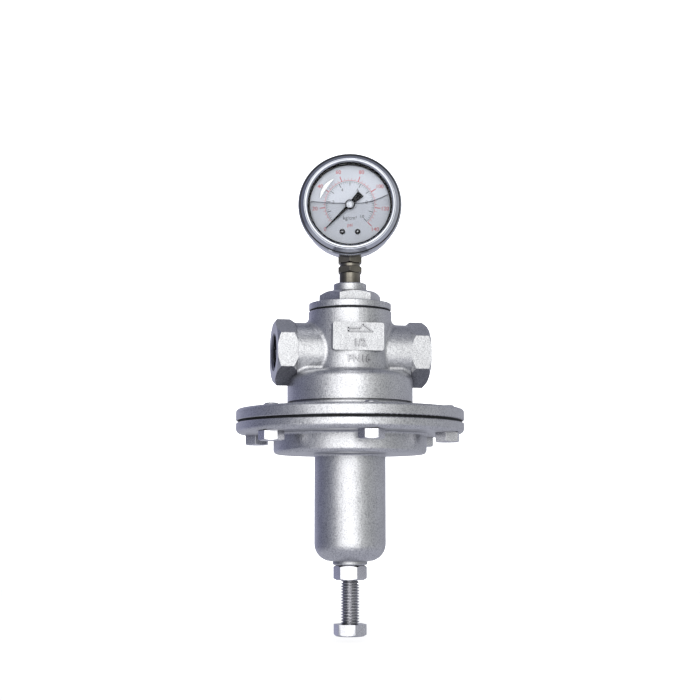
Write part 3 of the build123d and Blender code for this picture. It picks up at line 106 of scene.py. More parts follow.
# ------------------------------------------------------------------ materials
class Graph:
    """The node tree of a material or a world, with short ways to add nodes and to join them."""

    def __init__(self, owner, output="ShaderNodeOutputMaterial"):
        owner.use_nodes = True
        self.owner = owner
        self.nodes = owner.node_tree.nodes
        self.links = owner.node_tree.links
        self.nodes.clear()
        self.output = self.add(output)

    def feed(self, socket, value):
        """Joins an input to another node's output, or sets it to a value or a colour."""
        if isinstance(value, bpy.types.NodeSocket):
            self.links.new(value, socket)
        elif socket.type == "RGBA":
            socket.default_value = (*value, 1)
        else:
            socket.default_value = value

    def add(self, kind, settings=None, **inputs):
        """A node with its settings and its inputs; an input's name has _ for a space."""
        node = self.nodes.new(kind)
        for key, value in (settings or {}).items():
            setattr(node, key, value)
        for key, value in inputs.items():
            self.feed(node.inputs[key.replace("_", " ")], value)
        return node

    def surface(self, shader):
        """Makes a shader the tree's result, and gives back the material or world."""
        self.links.new(shader.outputs[0], self.output.inputs["Surface"])
        return self.owner

    def place(self):
        """Where a point lies on its piece, in metres."""
        return self.add("ShaderNodeTexCoord").outputs["Object"]

    def noise(self, size, detail=2.0, vector=None):
        """Cloudy noise whose lumps are about this size, in metres."""
        node = self.add("ShaderNodeTexNoise", Scale=1 / size, Detail=detail, Vector=vector or self.place())
        return node.outputs["Fac"]

    def spread(self, value, low, high, start=0.3, end=0.7):
        """A value carried over from the range start to end to the range low to high."""
        ends = {"From_Min": start, "From_Max": end, "To_Min": low, "To_Max": high}
        return self.add("ShaderNodeMapRange", Value=value, **ends).outputs["Result"]

    def ramp(self, value, *stops):
        """A colour ramp of (position, colour) stops."""
        node = self.add("ShaderNodeValToRGB", Fac=value)
        elements = node.color_ramp.elements
        while len(elements) < len(stops):
            elements.new(0.5)
        for element, (position, colour) in zip(elements, stops):
            element.position = position
            element.color = (*colour, 1)
        return node.outputs["Color"]

    def mix(self, amount, a, b, blend="MIX"):
        """Colour a mixed with colour b; the node has an input A and an output for each kind of data."""
        node = self.add("ShaderNodeMix", {"data_type": "RGBA", "blend_type": blend})
        inputs = {socket.identifier: socket for socket in node.inputs}
        self.feed(inputs["Factor_Float"], amount)
        self.feed(inputs["A_Color"], a)
        self.feed(inputs["B_Color"], b)
        return next(socket for socket in node.outputs if socket.identifier == "Result_Color")

    def bump(self, height, depth, under=None):
        """A bump of this depth in metres, on top of another bump if one is given."""
        node = self.add("ShaderNodeBump", Height=height, Distance=depth)
        if under is not None:
            self.feed(node.inputs["Normal"], under)
        return node.outputs["Normal"]

    def blend(self, kind, first, second, **inputs):
        """Two shaders mixed or added by a node of this kind, whose last two inputs they are."""
        node = self.add(kind, **inputs)
        self.links.new(first.outputs[0], node.inputs[-2])
        self.links.new(second.outputs[0], node.inputs[-1])
        return node


def material_graph(name):
    """The empty node tree of a new material."""
    return Graph(bpy.data.materials.new(name))


def tinted(colour, share):
    """A colour made lighter or darker."""
    return tuple(min(1.0, channel * share) for channel in colour)


WHITE = (1, 1, 1)
CLOUD, PIT = 9 * MM, 2.8  # patches of tone; a pit is this many grains wide
RECESS_REACH = 4.5 * MM  # how far from a wall the painted shade in a recess reaches


def metal(name, colour, roughness, grain, grain_depth, patchiness=0.08, painted_recess_shade=0.0, speckling=0.4):
    """Bare metal: grain of one size and wider pits, cloudy patches of tone, and painted shade that darkens
    recesses.
    """
    graph = material_graph(name)
    cloud = graph.noise(CLOUD, 4)
    fine = graph.noise(grain, 3)
    pits = graph.noise(grain * PIT, 2)
    dark, light = tinted(colour, 1 - patchiness), tinted(colour, 1 + patchiness)
    tone = graph.ramp(cloud, (0.3, dark), (0.7, light))
    speckle = graph.ramp(fine, (0.34, (0.52, 0.52, 0.54)), (0.58, WHITE))
    tone = graph.mix(speckling, tone, speckle, "MULTIPLY")
    # painted shade: ambient occlusion darkens the colour near walls, in recesses and between parts
    if painted_recess_shade:
        recess = graph.add("ShaderNodeAmbientOcclusion", {"samples": 6}, Distance=RECESS_REACH)
        shade = graph.ramp(recess.outputs["AO"], (0.25, (0.2, 0.2, 0.21)), (0.92, WHITE))
        tone = graph.mix(painted_recess_shade, tone, shade, "MULTIPLY")
    rough = graph.spread(fine, roughness * 0.84, roughness * 1.16)
    normal = graph.bump(fine, grain_depth)
    normal = graph.bump(pits, grain_depth * 1.2, normal)
    return graph.surface(
        graph.add("ShaderNodeBsdfPrincipled", Metallic=1.0, Roughness=rough, Normal=normal, Base_Color=tone)
    )


def brushed(name, colour, roughness, stretch):
    """Turned or drawn metal, with fine lines across one direction."""
    graph = material_graph(name)
    stretched = graph.add("ShaderNodeMapping", Vector=graph.place(), Scale=stretch)
    lines = graph.noise(1, 3, stretched.outputs["Vector"])
    cloud = graph.noise(6 * MM, 3)
    tone = graph.ramp(lines, (0.3, tinted(colour, 0.82)), (0.7, tinted(colour, 1.08)))
    smudge = graph.ramp(cloud, (0.35, (0.88, 0.88, 0.9)), (0.65, WHITE))
    tone = graph.mix(0.7, tone, smudge, "MULTIPLY")
    rough = graph.spread(lines, roughness * 0.75, roughness * 1.3)
    normal = graph.bump(lines, 0.006 * MM)
    return graph.surface(
        graph.add("ShaderNodeBsdfPrincipled", Metallic=1.0, Roughness=rough, Normal=normal, Base_Color=tone)
    )


def coated(name, colour, roughness, grain, grain_depth, patchiness=0.1, **inputs):
    """Paint, print, rubber or plastic."""
    graph = material_graph(name)
    fine = graph.noise(grain, 3)
    cloud = graph.noise(7 * MM, 3)
    tone = graph.ramp(cloud, (0.3, tinted(colour, 1 - patchiness)), (0.7, tinted(colour, 1 + patchiness)))
    rough = graph.spread(fine, roughness * 0.85, min(1.0, roughness * 1.15))
    normal = graph.bump(fine, grain_depth)
    return graph.surface(
        graph.add("ShaderNodeBsdfPrincipled", Roughness=rough, Normal=normal, Base_Color=tone, **inputs)
    )


def clear(name, tint, roughness, gloss, haze):
    """A clear sheet or liquid: light passes straight through it, and a share of it, the gloss, shines."""
    graph = material_graph(name)
    streaks = graph.noise(11 * MM, 4)
    tone = graph.ramp(streaks, (0.35, tinted(tint, 1 - haze)), (0.65, tint))
    through = graph.add("ShaderNodeBsdfTransparent", Color=tone)
    rough = graph.spread(graph.noise(0.8 * MM), roughness * 0.6, roughness * 1.6)
    shine = graph.add("ShaderNodeBsdfGlossy", Roughness=rough)
    return graph.surface(graph.blend("ShaderNodeMixShader", through, shine, Fac=gloss))


# stretches along x, y and z: lines round a turned piece, and short flecks on wire
LINES_ACROSS_Z = (120, 120, 4200)
FLECKS = (900, 900, 900)
CASTING_GRAIN = 0.62 * MM
# In the metals below, the recess setting is the strength of a painted shade that darkens recesses.
POLISH = {"grain": 1.4 * MM, "grain_depth": 0.0006 * MM, "patchiness": 0.04, "painted_recess_shade": 0.5, "speckling": 0.15}
MATERIALS = {
    "cast_stainless": metal(
        "cast_stainless_blasted",
        (0.66, 0.665, 0.683),
        roughness=0.34,
        grain=CASTING_GRAIN,
        grain_depth=0.085 * MM,
        patchiness=0.06,
        painted_recess_shade=0.7,
        speckling=0.8,
    ),
    "machined_stainless": brushed("machined_stainless_turned", (0.66, 0.66, 0.67), 0.26, LINES_ACROSS_Z),
    "bright_fasteners": metal(
        "bright_fasteners_a2",
        (0.68, 0.68, 0.71),
        roughness=0.25,
        grain=0.5 * MM,
        grain_depth=0.016 * MM,
        patchiness=0.1,
        painted_recess_shade=0.7,
        speckling=0.5,
    ),
    "spring_steel": brushed("spring_steel_oiled", (0.36, 0.37, 0.4), 0.3, FLECKS),
    "bronze": brushed("bronze_turned", (0.62, 0.42, 0.2), 0.3, LINES_ACROSS_Z),
    "dark_brass": metal(
        "dark_brass_tarnished",
        (0.21, 0.195, 0.165),
        roughness=0.1,
        grain=0.6 * MM,
        grain_depth=0.012 * MM,
        patchiness=0.3,
        painted_recess_shade=0.6,
    ),
    "polished_case": metal("polished_case_steel", (0.68, 0.695, 0.74), roughness=0.07, **POLISH),
    "clear_window": clear("clear_window_glass", (0.98, 0.985, 0.99), roughness=0.02, gloss=0.007, haze=0.015),
    "white_dial": coated(
        "white_dial_enamel", (0.745, 0.765, 0.82), 0.5, 0.4 * MM, 0.004 * MM, patchiness=0.02
    ),
    "black_paint": coated(
        "black_paint_satin", (0.004, 0.004, 0.005), 0.5, 0.3 * MM, 0.004 * MM, Specular_IOR_Level=0.06
    ),
    "black_rubber": coated(
        "black_rubber_moulded", (0.012, 0.012, 0.014), 0.6, 0.35 * MM, 0.015 * MM, Specular_IOR_Level=0.25
    ),
}
BLACK_INK = coated("dial_ink_black", (0.02, 0.02, 0.025), 0.45, 0.2 * MM, 0.003 * MM)
RED_INK = coated("dial_ink_red", (0.62, 0.05, 0.06), 0.45, 0.2 * MM, 0.003 * MM)
# Painted shade: the raised marks are a darker tone than the casting and fully shaded in their recesses, so that
# they stand out.
MARK_METAL = metal(
    "cast_marks_blasted_painted_shade",
    (0.5, 0.5, 0.52),
    roughness=0.4,
    grain=CASTING_GRAIN,
    grain_depth=0.05 * MM,
    patchiness=0.06,
    painted_recess_shade=1.0,
    speckling=0.6,
)
# Painted shade: the port thread is coloured near black to stand in for the shade deep in the bore.
SHADED_THREAD_METAL = metal(
    "port_thread_painted_shade",
    (0.2, 0.2, 0.23),
    roughness=0.24,
    grain=0.4 * MM,
    grain_depth=0.01 * MM,
    patchiness=0.1,
    painted_recess_shade=1.0,
)
BEZEL_METAL = metal("bezel_polished", (0.56, 0.58, 0.63), roughness=0.05, **POLISH)
GLYCERINE = clear("glycerine", WHITE, roughness=0.01, gloss=0.002, haze=0.004)
CLING = clear("glycerine_film", WHITE, roughness=0.1, gloss=0.4, haze=0.01)
# Painted shade: an opaque dark colour for the liquid's face, in place of the dark line that light makes at its
# surface.
MENISCUS_SHADE_LINE = coated("glycerine_face_painted_line", (0.1, 0.11, 0.16), 0.3, 0.5 * MM, 0.002 * MM)

for subpart in frame["record"]["subparts"]:
    NODES[subpart["node"]].data.materials[0] = MATERIALS[subpart["material_slot"]]


# ------------------------------------------------------------------ mesh helpers
def piece(name, mesh_data, body, slot, material=None, smooth_angle=35):
    """A finished mesh becomes a shown piece that rides on a body."""
    obj = bpy.data.objects.new(name, mesh_data)
    bpy.context.scene.collection.objects.link(obj)
    mesh_data.materials.append(material or MATERIALS[slot])
    for polygon in mesh_data.polygons:
        polygon.use_smooth = True
    mesh_data.set_sharp_from_angle(angle=math.radians(smooth_angle))
    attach(obj, body)
    return obj


def finished(bm, name, place=None):
    """The mesh of a bmesh, with its normals outwards."""
    bmesh.ops.recalc_face_normals(bm, faces=bm.faces)
    if place is not None:
        bm.transform(place)
    data = bpy.data.meshes.new(name)
    bm.to_mesh(data)
    bm.free()
    return data


def rounded(corners, steps=8):
    """A closed line through (across, up) corners; a corner with a third value, its radius, is an arc."""
    line = []
    count = len(corners)
    for index, corner in enumerate(corners):
        point = Vector(corner[:2])
        radius = corner[2] if len(corner) > 2 else 0
        if not radius:
            line.append(point)
            continue
        before = (Vector(corners[index - 1][:2]) - point).normalized()
        after = (Vector(corners[(index + 1) % count][:2]) - point).normalized()
        half = before.angle(after) / 2
        centre = point + (before + after).normalized() * (radius / math.sin(half))
        start = point + before * (radius / math.tan(half)) - centre
        end = point + after * (radius / math.tan(half)) - centre
        sweep = start.angle(end)
        for step in range(steps + 1):
            share = step / steps
            arm = start * math.sin((1 - share) * sweep) + end * math.sin(share * sweep)
            line.append(centre + arm / math.sin(sweep))
    return line


ON_AXIS = 0.0001 * MM


def lathe(name, profile, place, turns=160):
    """A closed (radius, height) outline turned about a frame's z axis; a point on the axis is one corner."""
    bm = bmesh.new()
    rings = []
    for radius, height in profile:
        if radius < ON_AXIS:
            rings.append([bm.verts.new((0, 0, height))])
            continue
        angles = [2 * math.pi * step / turns for step in range(turns)]
        rings.append([bm.verts.new((radius * math.cos(a), radius * math.sin(a), height)) for a in angles])
    for low, high in zip(rings, rings[1:] + rings[:1]):
        if len(low) == len(high) == 1:
            continue
        for step in range(turns):
            after = step + 1
            corners = [low[step % len(low)], low[after % len(low)]]
            corners += [high[after % len(high)], high[step % len(high)]]
            bm.faces.new(list(dict.fromkeys(corners)))
    return finished(bm, name, place)


def skin(bm, rings):
    """Adds the faces between rings of equally many corners, each ring joined to the next."""
    for below, above in zip(rings, rings[1:]):
        for step in range(len(below)):
            after = (step + 1) % len(below)
            bm.faces.new((below[step], below[after], above[after], above[step]))


def prism(bm, outline, low, high):
    """Adds a closed (x, y) outline, extruded from low to high."""
    bottom = [bm.verts.new((x, y, low)) for x, y in outline]
    top = [bm.verts.new((x, y, high)) for x, y in outline]
    bm.faces.new(bottom[::-1])
    bm.faces.new(top)
    for index in range(len(outline)):
        after = (index + 1) % len(outline)
        bm.faces.new((bottom[index], bottom[after], top[after], top[index]))


def ring_strip(bm, radius, width, low, high, start, end, steps=120):
    """Adds a flat arc, extruded from low to high."""
    inner, outer = radius - width / 2, radius + width / 2
    angles = [math.radians(start + (end - start) * step / steps) for step in range(steps + 1)]
    points = [(outer * math.cos(a), outer * math.sin(a)) for a in angles]
    points += [(inner * math.cos(a), inner * math.sin(a)) for a in reversed(angles)]
    count = steps + 1
    bottom = [bm.verts.new((x, y, low)) for x, y in points]
    top = [bm.verts.new((x, y, high)) for x, y in points]
    for step in range(steps):
        a, b, c, d = step, step + 1, 2 * count - 2 - step, 2 * count - 1 - step
        bm.faces.new([top[i] for i in (a, b, c, d)])
        bm.faces.new([bottom[i] for i in (d, c, b, a)])
    for index in range(2 * count):
        after = (index + 1) % (2 * count)
        bm.faces.new((bottom[index], bottom[after], top[after], top[index]))


def bar(bm, angle, inner, outer, width, low, high):
    """Adds a straight radial mark."""
    across = width / 2
    turn = Matrix.Rotation(math.radians(angle), 2)
    corners = ((inner, -across), (outer, -across), (outer, across), (inner, across))
    prism(bm, [turn @ Vector(corner) for corner in corners], low, high)


CAPITAL_SHARE = 0.7  # a capital's height as a share of the font's size
SAME_POINT = 0.001 * MM


def lettering(bm, text, height, centre, low, high, boldness=0.0):
    """Adds raised characters centred on a point, from low to high."""
    curve = bpy.data.curves.new("lettering", "FONT")
    curve.body = text
    curve.size = height / CAPITAL_SHARE
    curve.align_x = "CENTER"
    curve.align_y = "CENTER"
    curve.offset = boldness
    curve.resolution_u = 4
    obj = bpy.data.objects.new("lettering", curve)
    bpy.context.scene.collection.objects.link(obj)
    bpy.context.view_layer.update()
    flat = bpy.data.meshes.new_from_object(obj.evaluated_get(bpy.context.evaluated_depsgraph_get()))
    bpy.data.objects.remove(obj)
    bpy.data.curves.remove(curve)
    glyphs = bmesh.new()
    glyphs.from_mesh(flat)
    bpy.data.meshes.remove(flat)
    bmesh.ops.remove_doubles(glyphs, verts=glyphs.verts, dist=SAME_POINT)
    raised = bmesh.ops.extrude_face_region(glyphs, geom=glyphs.faces[:])
    lifted = [item for item in raised["geom"] if isinstance(item, bmesh.types.BMVert)]
    bmesh.ops.translate(glyphs, verts=lifted, vec=(0, 0, high - low))
    glyphs.transform(Matrix.Translation((*centre, low)))
    carried = bpy.data.meshes.new("lettering")
    glyphs.to_mesh(carried)
    glyphs.free()
    bm.from_mesh(carried)
    bpy.data.meshes.remove(carried)


# ------------------------------------------------------------------ adjusting screw
SCREW_PITCH = 1.5 * MM
SCREW_CREST_R = 4.95 * MM
SCREW_THREAD_DEPTH = 1.0 * MM
SCREW_TIP_TAPER = 1.2 * MM
SCREW_HEAD_HEIGHT = 6.4 * MM
SCREW_HEAD_AF = 16 * MM
SCREW_HEAD_TURN = -24
SCREW_INTO_HEAD = 0.4 * MM
HEAD_EDGE_ROUND = 0.12 * MM
HEAD_BEVEL = 30
HEAD_FACE_SHARE = 0.94  # the end face's radius as a share of half the width across flats


def threaded_rod(bm, place, crest_r, depth, pitch, low, high, taper):
    """Adds a rod along a frame's z axis with a rolled thread, flat at crests and roots, and a tapered top."""
    turns, rows_a_pitch = 48, 10
    steepness, lowered = 3.2, 0.3  # of the thread's wave, which leaves a flat crest and a flat root
    rows = round((high - low) / pitch * rows_a_pitch)
    rings = []
    for row in range(rows + 1):
        height = low + (high - low) * row / rows
        limit = min(crest_r, crest_r - taper + (high - height))
        ring = []
        for step in range(turns):
            phase = (height / pitch - step / turns) % 1
            wave = min(1, max(0, steepness * abs(phase - 0.5) - lowered))
            radius = min(limit, crest_r - depth + depth * wave)
            angle = 2 * math.pi * step / turns
            at = (radius * math.cos(angle), radius * math.sin(angle), height)
            ring.append(bm.verts.new(place @ Vector(at)))
        rings.append(ring)
    skin(bm, rings)
    bm.faces.new(rings[0][::-1])
    bm.faces.new(rings[-1])


def hex_head(bm, place, across_flats, low, high, edge_round):
    """Adds a hexagon with a cone-bevelled lower end and slightly rounded edges."""
    corner = across_flats / math.sqrt(3)
    face = across_flats / 2 * HEAD_FACE_SHARE
    slope = math.tan(math.radians(HEAD_BEVEL))
    drop = (corner - face) * slope
    bevel_rows, side_steps, half_side = 4, 16, math.pi / 6
    round_from, round_scale = 0.86, 0.02  # where the rounding starts along a half side, and how it grows
    heights = [low + drop * row / bevel_rows for row in range(bevel_rows + 1)] + [high]
    rings = []
    for height in heights:
        limit = min(corner, face + (height - low) / slope)
        ring = []
        for side in range(6):
            for step in range(side_steps):
                angle = -half_side + 2 * half_side * step / side_steps
                flat = across_flats / 2 / math.cos(angle)
                flat -= edge_round * max(0, abs(angle) / half_side - round_from) ** 2 / round_scale
                radius = min(flat, limit)
                turn = angle + side * math.pi / 3 + math.pi / 2
                at = (radius * math.cos(turn), radius * math.sin(turn), height)
                ring.append(bm.verts.new(place @ Vector(at)))
        rings.append(ring)
    skin(bm, rings)
    bm.faces.new(rings[0][::-1])
    bm.faces.new(rings[-1])


def build_adjusting_screw():
    """The screw with its real thread, in place of the plain one."""
    screw = bmesh.new()
    head_top = SCREW_LOW.z + SCREW_HEAD_HEIGHT
    low, high = head_top - SCREW_INTO_HEAD, SCREW_HIGH.z
    threaded_rod(
        screw, VALVE_FRAME, SCREW_CREST_R, SCREW_THREAD_DEPTH, SCREW_PITCH, low, high, SCREW_TIP_TAPER
    )
    turned = VALVE_FRAME @ Matrix.Rotation(math.radians(SCREW_HEAD_TURN), 4, "Z")
    hex_head(screw, turned, SCREW_HEAD_AF, SCREW_LOW.z, head_top, HEAD_EDGE_ROUND)
    data = finished(screw, "adjusting_screw")
    made = piece("adjusting_screw_threaded", data, "adjusting_screw", "bright_fasteners")
    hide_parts("adjusting_screw")


build_adjusting_screw()


# ------------------------------------------------------------------ port threads
PORT_PITCH = INCH / 14
PORT_MINOR_R = 9.3 * MM
PORT_ROOT_R = 10.35 * MM
PORT_MARGIN = 0.04 * MM


def build_port_threads(mount):
    """The cut pipe thread that lines a port, with a countersunk mouth, coloured near black as painted shade of the
    bore.
    """
    axis = Vector(mount["axis"])
    place = Matrix.Translation(mount["pos_m"]) @ axis.to_track_quat("Z", "Y").to_matrix().to_4x4()
    wall_r = mount["dims"]["r_mm"] * MM - PORT_MARGIN
    length = mount["dims"]["length_mm"] * MM
    turns, rows_a_pitch = 96, 8
    steepness, lowered = 2.3, 0.08  # of the thread's wave, which leaves it nearly sharp
    rows = round(length / PORT_PITCH * rows_a_pitch)
    bm = bmesh.new()
    inner, outer = [], []
    for row in range(rows + 1):
        depth = PORT_MARGIN + (length - 2 * PORT_MARGIN) * row / rows
        countersink = wall_r - PORT_MARGIN - depth
        rings = ([], [])
        for step in range(turns):
            phase = (depth / PORT_PITCH - step / turns) % 1
            ridge = min(1, max(0, steepness * abs(phase - 0.5) - lowered))
            thread_r = max(PORT_ROOT_R - (PORT_ROOT_R - PORT_MINOR_R) * ridge, countersink)
            angle = 2 * math.pi * step / turns
            for ring, radius in zip(rings, (thread_r, wall_r)):
                at = (radius * math.cos(angle), radius * math.sin(angle), -depth)
                ring.append(bm.verts.new(place @ Vector(at)))
        inner.append(rings[0])
        outer.append(rings[1])
    skin(bm, inner + outer[::-1] + inner[:1])
    name = mount["name"] + "_thread"
    piece(name, finished(bm, name), "valve", "cast_stainless", SHADED_THREAD_METAL)


for port in PORT_MOUNTS:
    build_port_threads(port)


# ------------------------------------------------------------------ dial
ZERO_ANGLE = 225.0
SWEEP = 270.0
INK = 0.03 * MM
INK_LOW, INK_HIGH = DIAL_DEPTH - INK, DIAL_DEPTH + INK

# the inner, black scale and the outer, red one; a mark is (length, width)
BAR_TOP, PSI_TOP = 10, 140
BAR_MARKS, PSI_MARKS = 5 * BAR_TOP, PSI_TOP // 4
MARKS_A_MAJOR = 5
BAR_RING_R, BAR_RING_WIDTH = 13.1 * MM, 0.14 * MM
PSI_RING_R, PSI_RING_WIDTH = 13.8 * MM, 0.2 * MM
BAR_MAJOR, BAR_MINOR = (2.2 * MM, 0.36 * MM), (1.1 * MM, 0.14 * MM)
PSI_MAJOR, PSI_MINOR = (3.0 * MM, 0.42 * MM), (1.3 * MM, 0.15 * MM)
BAR_FIGURE_STEP, BAR_FIGURE_R, BAR_FIGURE_HEIGHT = 2, 9.3 * MM, 1.75 * MM
PSI_FIGURE_STEP, PSI_FIGURE_R, PSI_FIGURE_HEIGHT = 20, 19.4 * MM, 2.1 * MM
BAR_UNIT_Y, BAR_UNIT_HEIGHT = -7.4 * MM, 2.0 * MM
PSI_UNIT_Y, PSI_UNIT_HEIGHT = -11.2 * MM, 1.9 * MM


def scale_angle(share):
    """The dial angle of a share of full scale."""
    return ZERO_ANGLE - SWEEP * share


def figures(bm, top, figure_step, radius, height):
    """Prints a scale's figures round the dial."""
    for value in range(0, top + 1, figure_step):
        angle = math.radians(scale_angle(value / top))
        at = Vector((math.cos(angle), math.sin(angle))) * radius
        lettering(bm, str(value), height, at, INK_LOW, INK_HIGH)


def build_dial():
    """Both scales with their figures and units, printed on the dial."""
    black, red = bmesh.new(), bmesh.new()
    end = scale_angle(1)
    ring_strip(black, BAR_RING_R, BAR_RING_WIDTH, INK_LOW, INK_HIGH, end, ZERO_ANGLE)
    ring_strip(red, PSI_RING_R, PSI_RING_WIDTH, INK_LOW, INK_HIGH, end, ZERO_ANGLE)
    for mark in range(BAR_MARKS + 1):
        length, width = BAR_MINOR if mark % MARKS_A_MAJOR else BAR_MAJOR
        angle = scale_angle(mark / BAR_MARKS)
        bar(black, angle, BAR_RING_R - length, BAR_RING_R, width, INK_LOW, INK_HIGH)
    for mark in range(PSI_MARKS + 1):
        length, width = PSI_MINOR if mark % MARKS_A_MAJOR else PSI_MAJOR
        angle = scale_angle(mark / PSI_MARKS)
        bar(red, angle, PSI_RING_R, PSI_RING_R + length, width, INK_LOW, INK_HIGH)
    figures(black, BAR_TOP, BAR_FIGURE_STEP, BAR_FIGURE_R, BAR_FIGURE_HEIGHT)
    figures(red, PSI_TOP, PSI_FIGURE_STEP, PSI_FIGURE_R, PSI_FIGURE_HEIGHT)
    lettering(black, "kg/cm²", BAR_UNIT_HEIGHT, (0, BAR_UNIT_Y), INK_LOW, INK_HIGH)
    lettering(red, "psi", PSI_UNIT_HEIGHT, (0, PSI_UNIT_Y), INK_LOW, INK_HIGH)
    for name, marks, ink in (("dial_print_black", black, BLACK_INK), ("dial_print_red", red, RED_INK)):
        piece(name, finished(marks, name, DIAL_FRAME), "valve", "white_dial", ink)


def dome_line(radius, base, rise, foot, steps):
    """The (radius, height) outline of a domed button: its foot, and a ball's cap that rises from base."""
    ball_r = (radius**2 + rise**2) / (2 * rise)
    line = [(0, foot), (radius, foot)]
    for step in range(steps + 1):
        across = radius * (1 - step / steps)
        line.append((across, base + math.sqrt(ball_r**2 - across**2) - ball_r + rise))
    return line


BOSS_SHARE = 0.62  # the black boss's share of the hub's height
BOSS_ROUND = 0.3 * MM
CAP_SHARE = 0.8  # the cap's radius as a share of the hub's
CAP_SINK = 0.1 * MM


def build_pointer_hub():
    """A black boss with a bright domed cap, in place of the plain hub."""
    back, front = HUB_DEPTH
    shoulder = back + (front - back) * BOSS_SHARE
    boss = rounded([(0, back), (HUB_R, back), (HUB_R, shoulder, BOSS_ROUND), (0, shoulder)])
    black = piece("pointer_boss", lathe("pointer_boss", boss, DIAL_FRAME, 96), "pointer", "black_paint")
    dome = dome_line(HUB_R * CAP_SHARE, shoulder, front - shoulder, shoulder - CAP_SINK, steps=12)
    cap = lathe("pointer_cap", dome, DIAL_FRAME, 96)
    piece("pointer_cap", cap, "pointer", "machined_stainless", MATERIALS["polished_case"])
    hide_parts("pointer_hub")


build_dial()
build_pointer_hub()


# ------------------------------------------------------------------ bezel, window and glycerine
WINDOW_R = 22.9 * MM  # what the bezel leaves open
GLASS_R = 24.3 * MM
LINER_R = 22.1 * MM
SNUG = 0.1 * MM

BEZEL_SKIRT_R = 27.0 * MM  # the turned-in back edge
BEZEL_BORE_R = 27.9 * MM
BEZEL_SHELF_R = 26.6 * MM  # where the window's seat meets the sloping inside
BEZEL_SHEET = 1.1 * MM
BEZEL_SLOPE = 3.7 * MM  # how far the front slopes back to the rim
BEZEL_INSIDE = 3.6 * MM
BEZEL_GROOVE_R = (25.3 * MM, 25.0 * MM)
BEZEL_GROOVE_DEPTH = (0.7 * MM, 0.75 * MM)
BEZEL_LIP_R = (24.75 * MM, 23.9 * MM)
BEZEL_LIP_FALL = 0.15 * MM


def build_bezel():
    """A rolled bezel: a rim, a sloping front, a fine groove and a lip that holds the window."""
    back, front = BEZEL_DEPTH
    seat = LENS_DEPTH[0] + SNUG / 2
    profile = rounded(
        [
            (BEZEL_SKIRT_R, back),
            (BEZEL_R, back, 0.3 * MM),
            (BEZEL_R, front - BEZEL_SLOPE, 0.6 * MM),
            (BEZEL_GROOVE_R[0], front - BEZEL_GROOVE_DEPTH[0], 0.1 * MM),
            (BEZEL_GROOVE_R[1], front - BEZEL_GROOVE_DEPTH[1], 0.1 * MM),
            (BEZEL_LIP_R[0], front - BEZEL_LIP_FALL, 0.2 * MM),
            (BEZEL_LIP_R[1], front, 0.3 * MM),
            (WINDOW_R, LENS_DEPTH[1], 0.15 * MM),
            (GLASS_R + SNUG, LENS_DEPTH[1]),
            (GLASS_R + SNUG, seat),
            (BEZEL_SHELF_R, seat),
            (BEZEL_BORE_R, front - BEZEL_INSIDE),
            (BEZEL_BORE_R, back + BEZEL_SHEET),
            (BEZEL_SKIRT_R, back + BEZEL_SHEET),
        ],
        steps=14,
    )
    ring = lathe("bezel_ring", profile, DIAL_FRAME, 256)
    made = piece("bezel_ring", ring, "valve", "polished_case", BEZEL_METAL, smooth_angle=50)
    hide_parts("gauge_bezel")


def build_window():
    """A flat window that fits inside the bezel's seat."""
    back, front = LENS_DEPTH
    profile = [(0, back), (GLASS_R, back), (GLASS_R, front), (0, front)]
    made = piece("window_glass", lathe("window_glass", profile, DIAL_FRAME), "valve", "clear_window")
    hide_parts("gauge_lens")


LINER_GAP = 0.02 * MM
LINER_ROUND = 0.4 * MM


def build_liner():
    """The black seal round the dial, between it and the window; painted near black, it also stands in for the
    shade just inside the bezel.
    """
    low, high = DIAL_DEPTH + LINER_GAP, LENS_DEPTH[0] - LINER_GAP
    profile = rounded([(LINER_R, low), (DIAL_R, low), (DIAL_R, high), (LINER_R, high, LINER_ROUND)])
    ring = lathe("dial_liner", profile, DIAL_FRAME)
    # partly painted shade: a real black seal, made wider and blacker to stand in for the shade inside the bezel
    piece("dial_liner", ring, "valve", "black_rubber", MATERIALS["black_paint"])


LIQUID_LEVEL = 0.7 * MM  # above the dial's centre
LIQUID_CLIMB, CLIMB_START, CLIMB_POWER = 5.6 * MM, 4 * MM, 1.8
LIQUID_LEFT_RISE = 1.1 * MM
FACE_LINE = 0.28 * MM
FACE_DEPTH = 0.5 * MM


def liquid_height(across):
    """The liquid's face: almost level, drawn up to the right where it clings to the case."""
    climb = max(0.0, (across - CLIMB_START) / (LINER_R - CLIMB_START))
    left = max(0.0, -across / LINER_R)
    return LIQUID_LEVEL + LIQUID_CLIMB * climb**CLIMB_POWER + LIQUID_LEFT_RISE * left**2


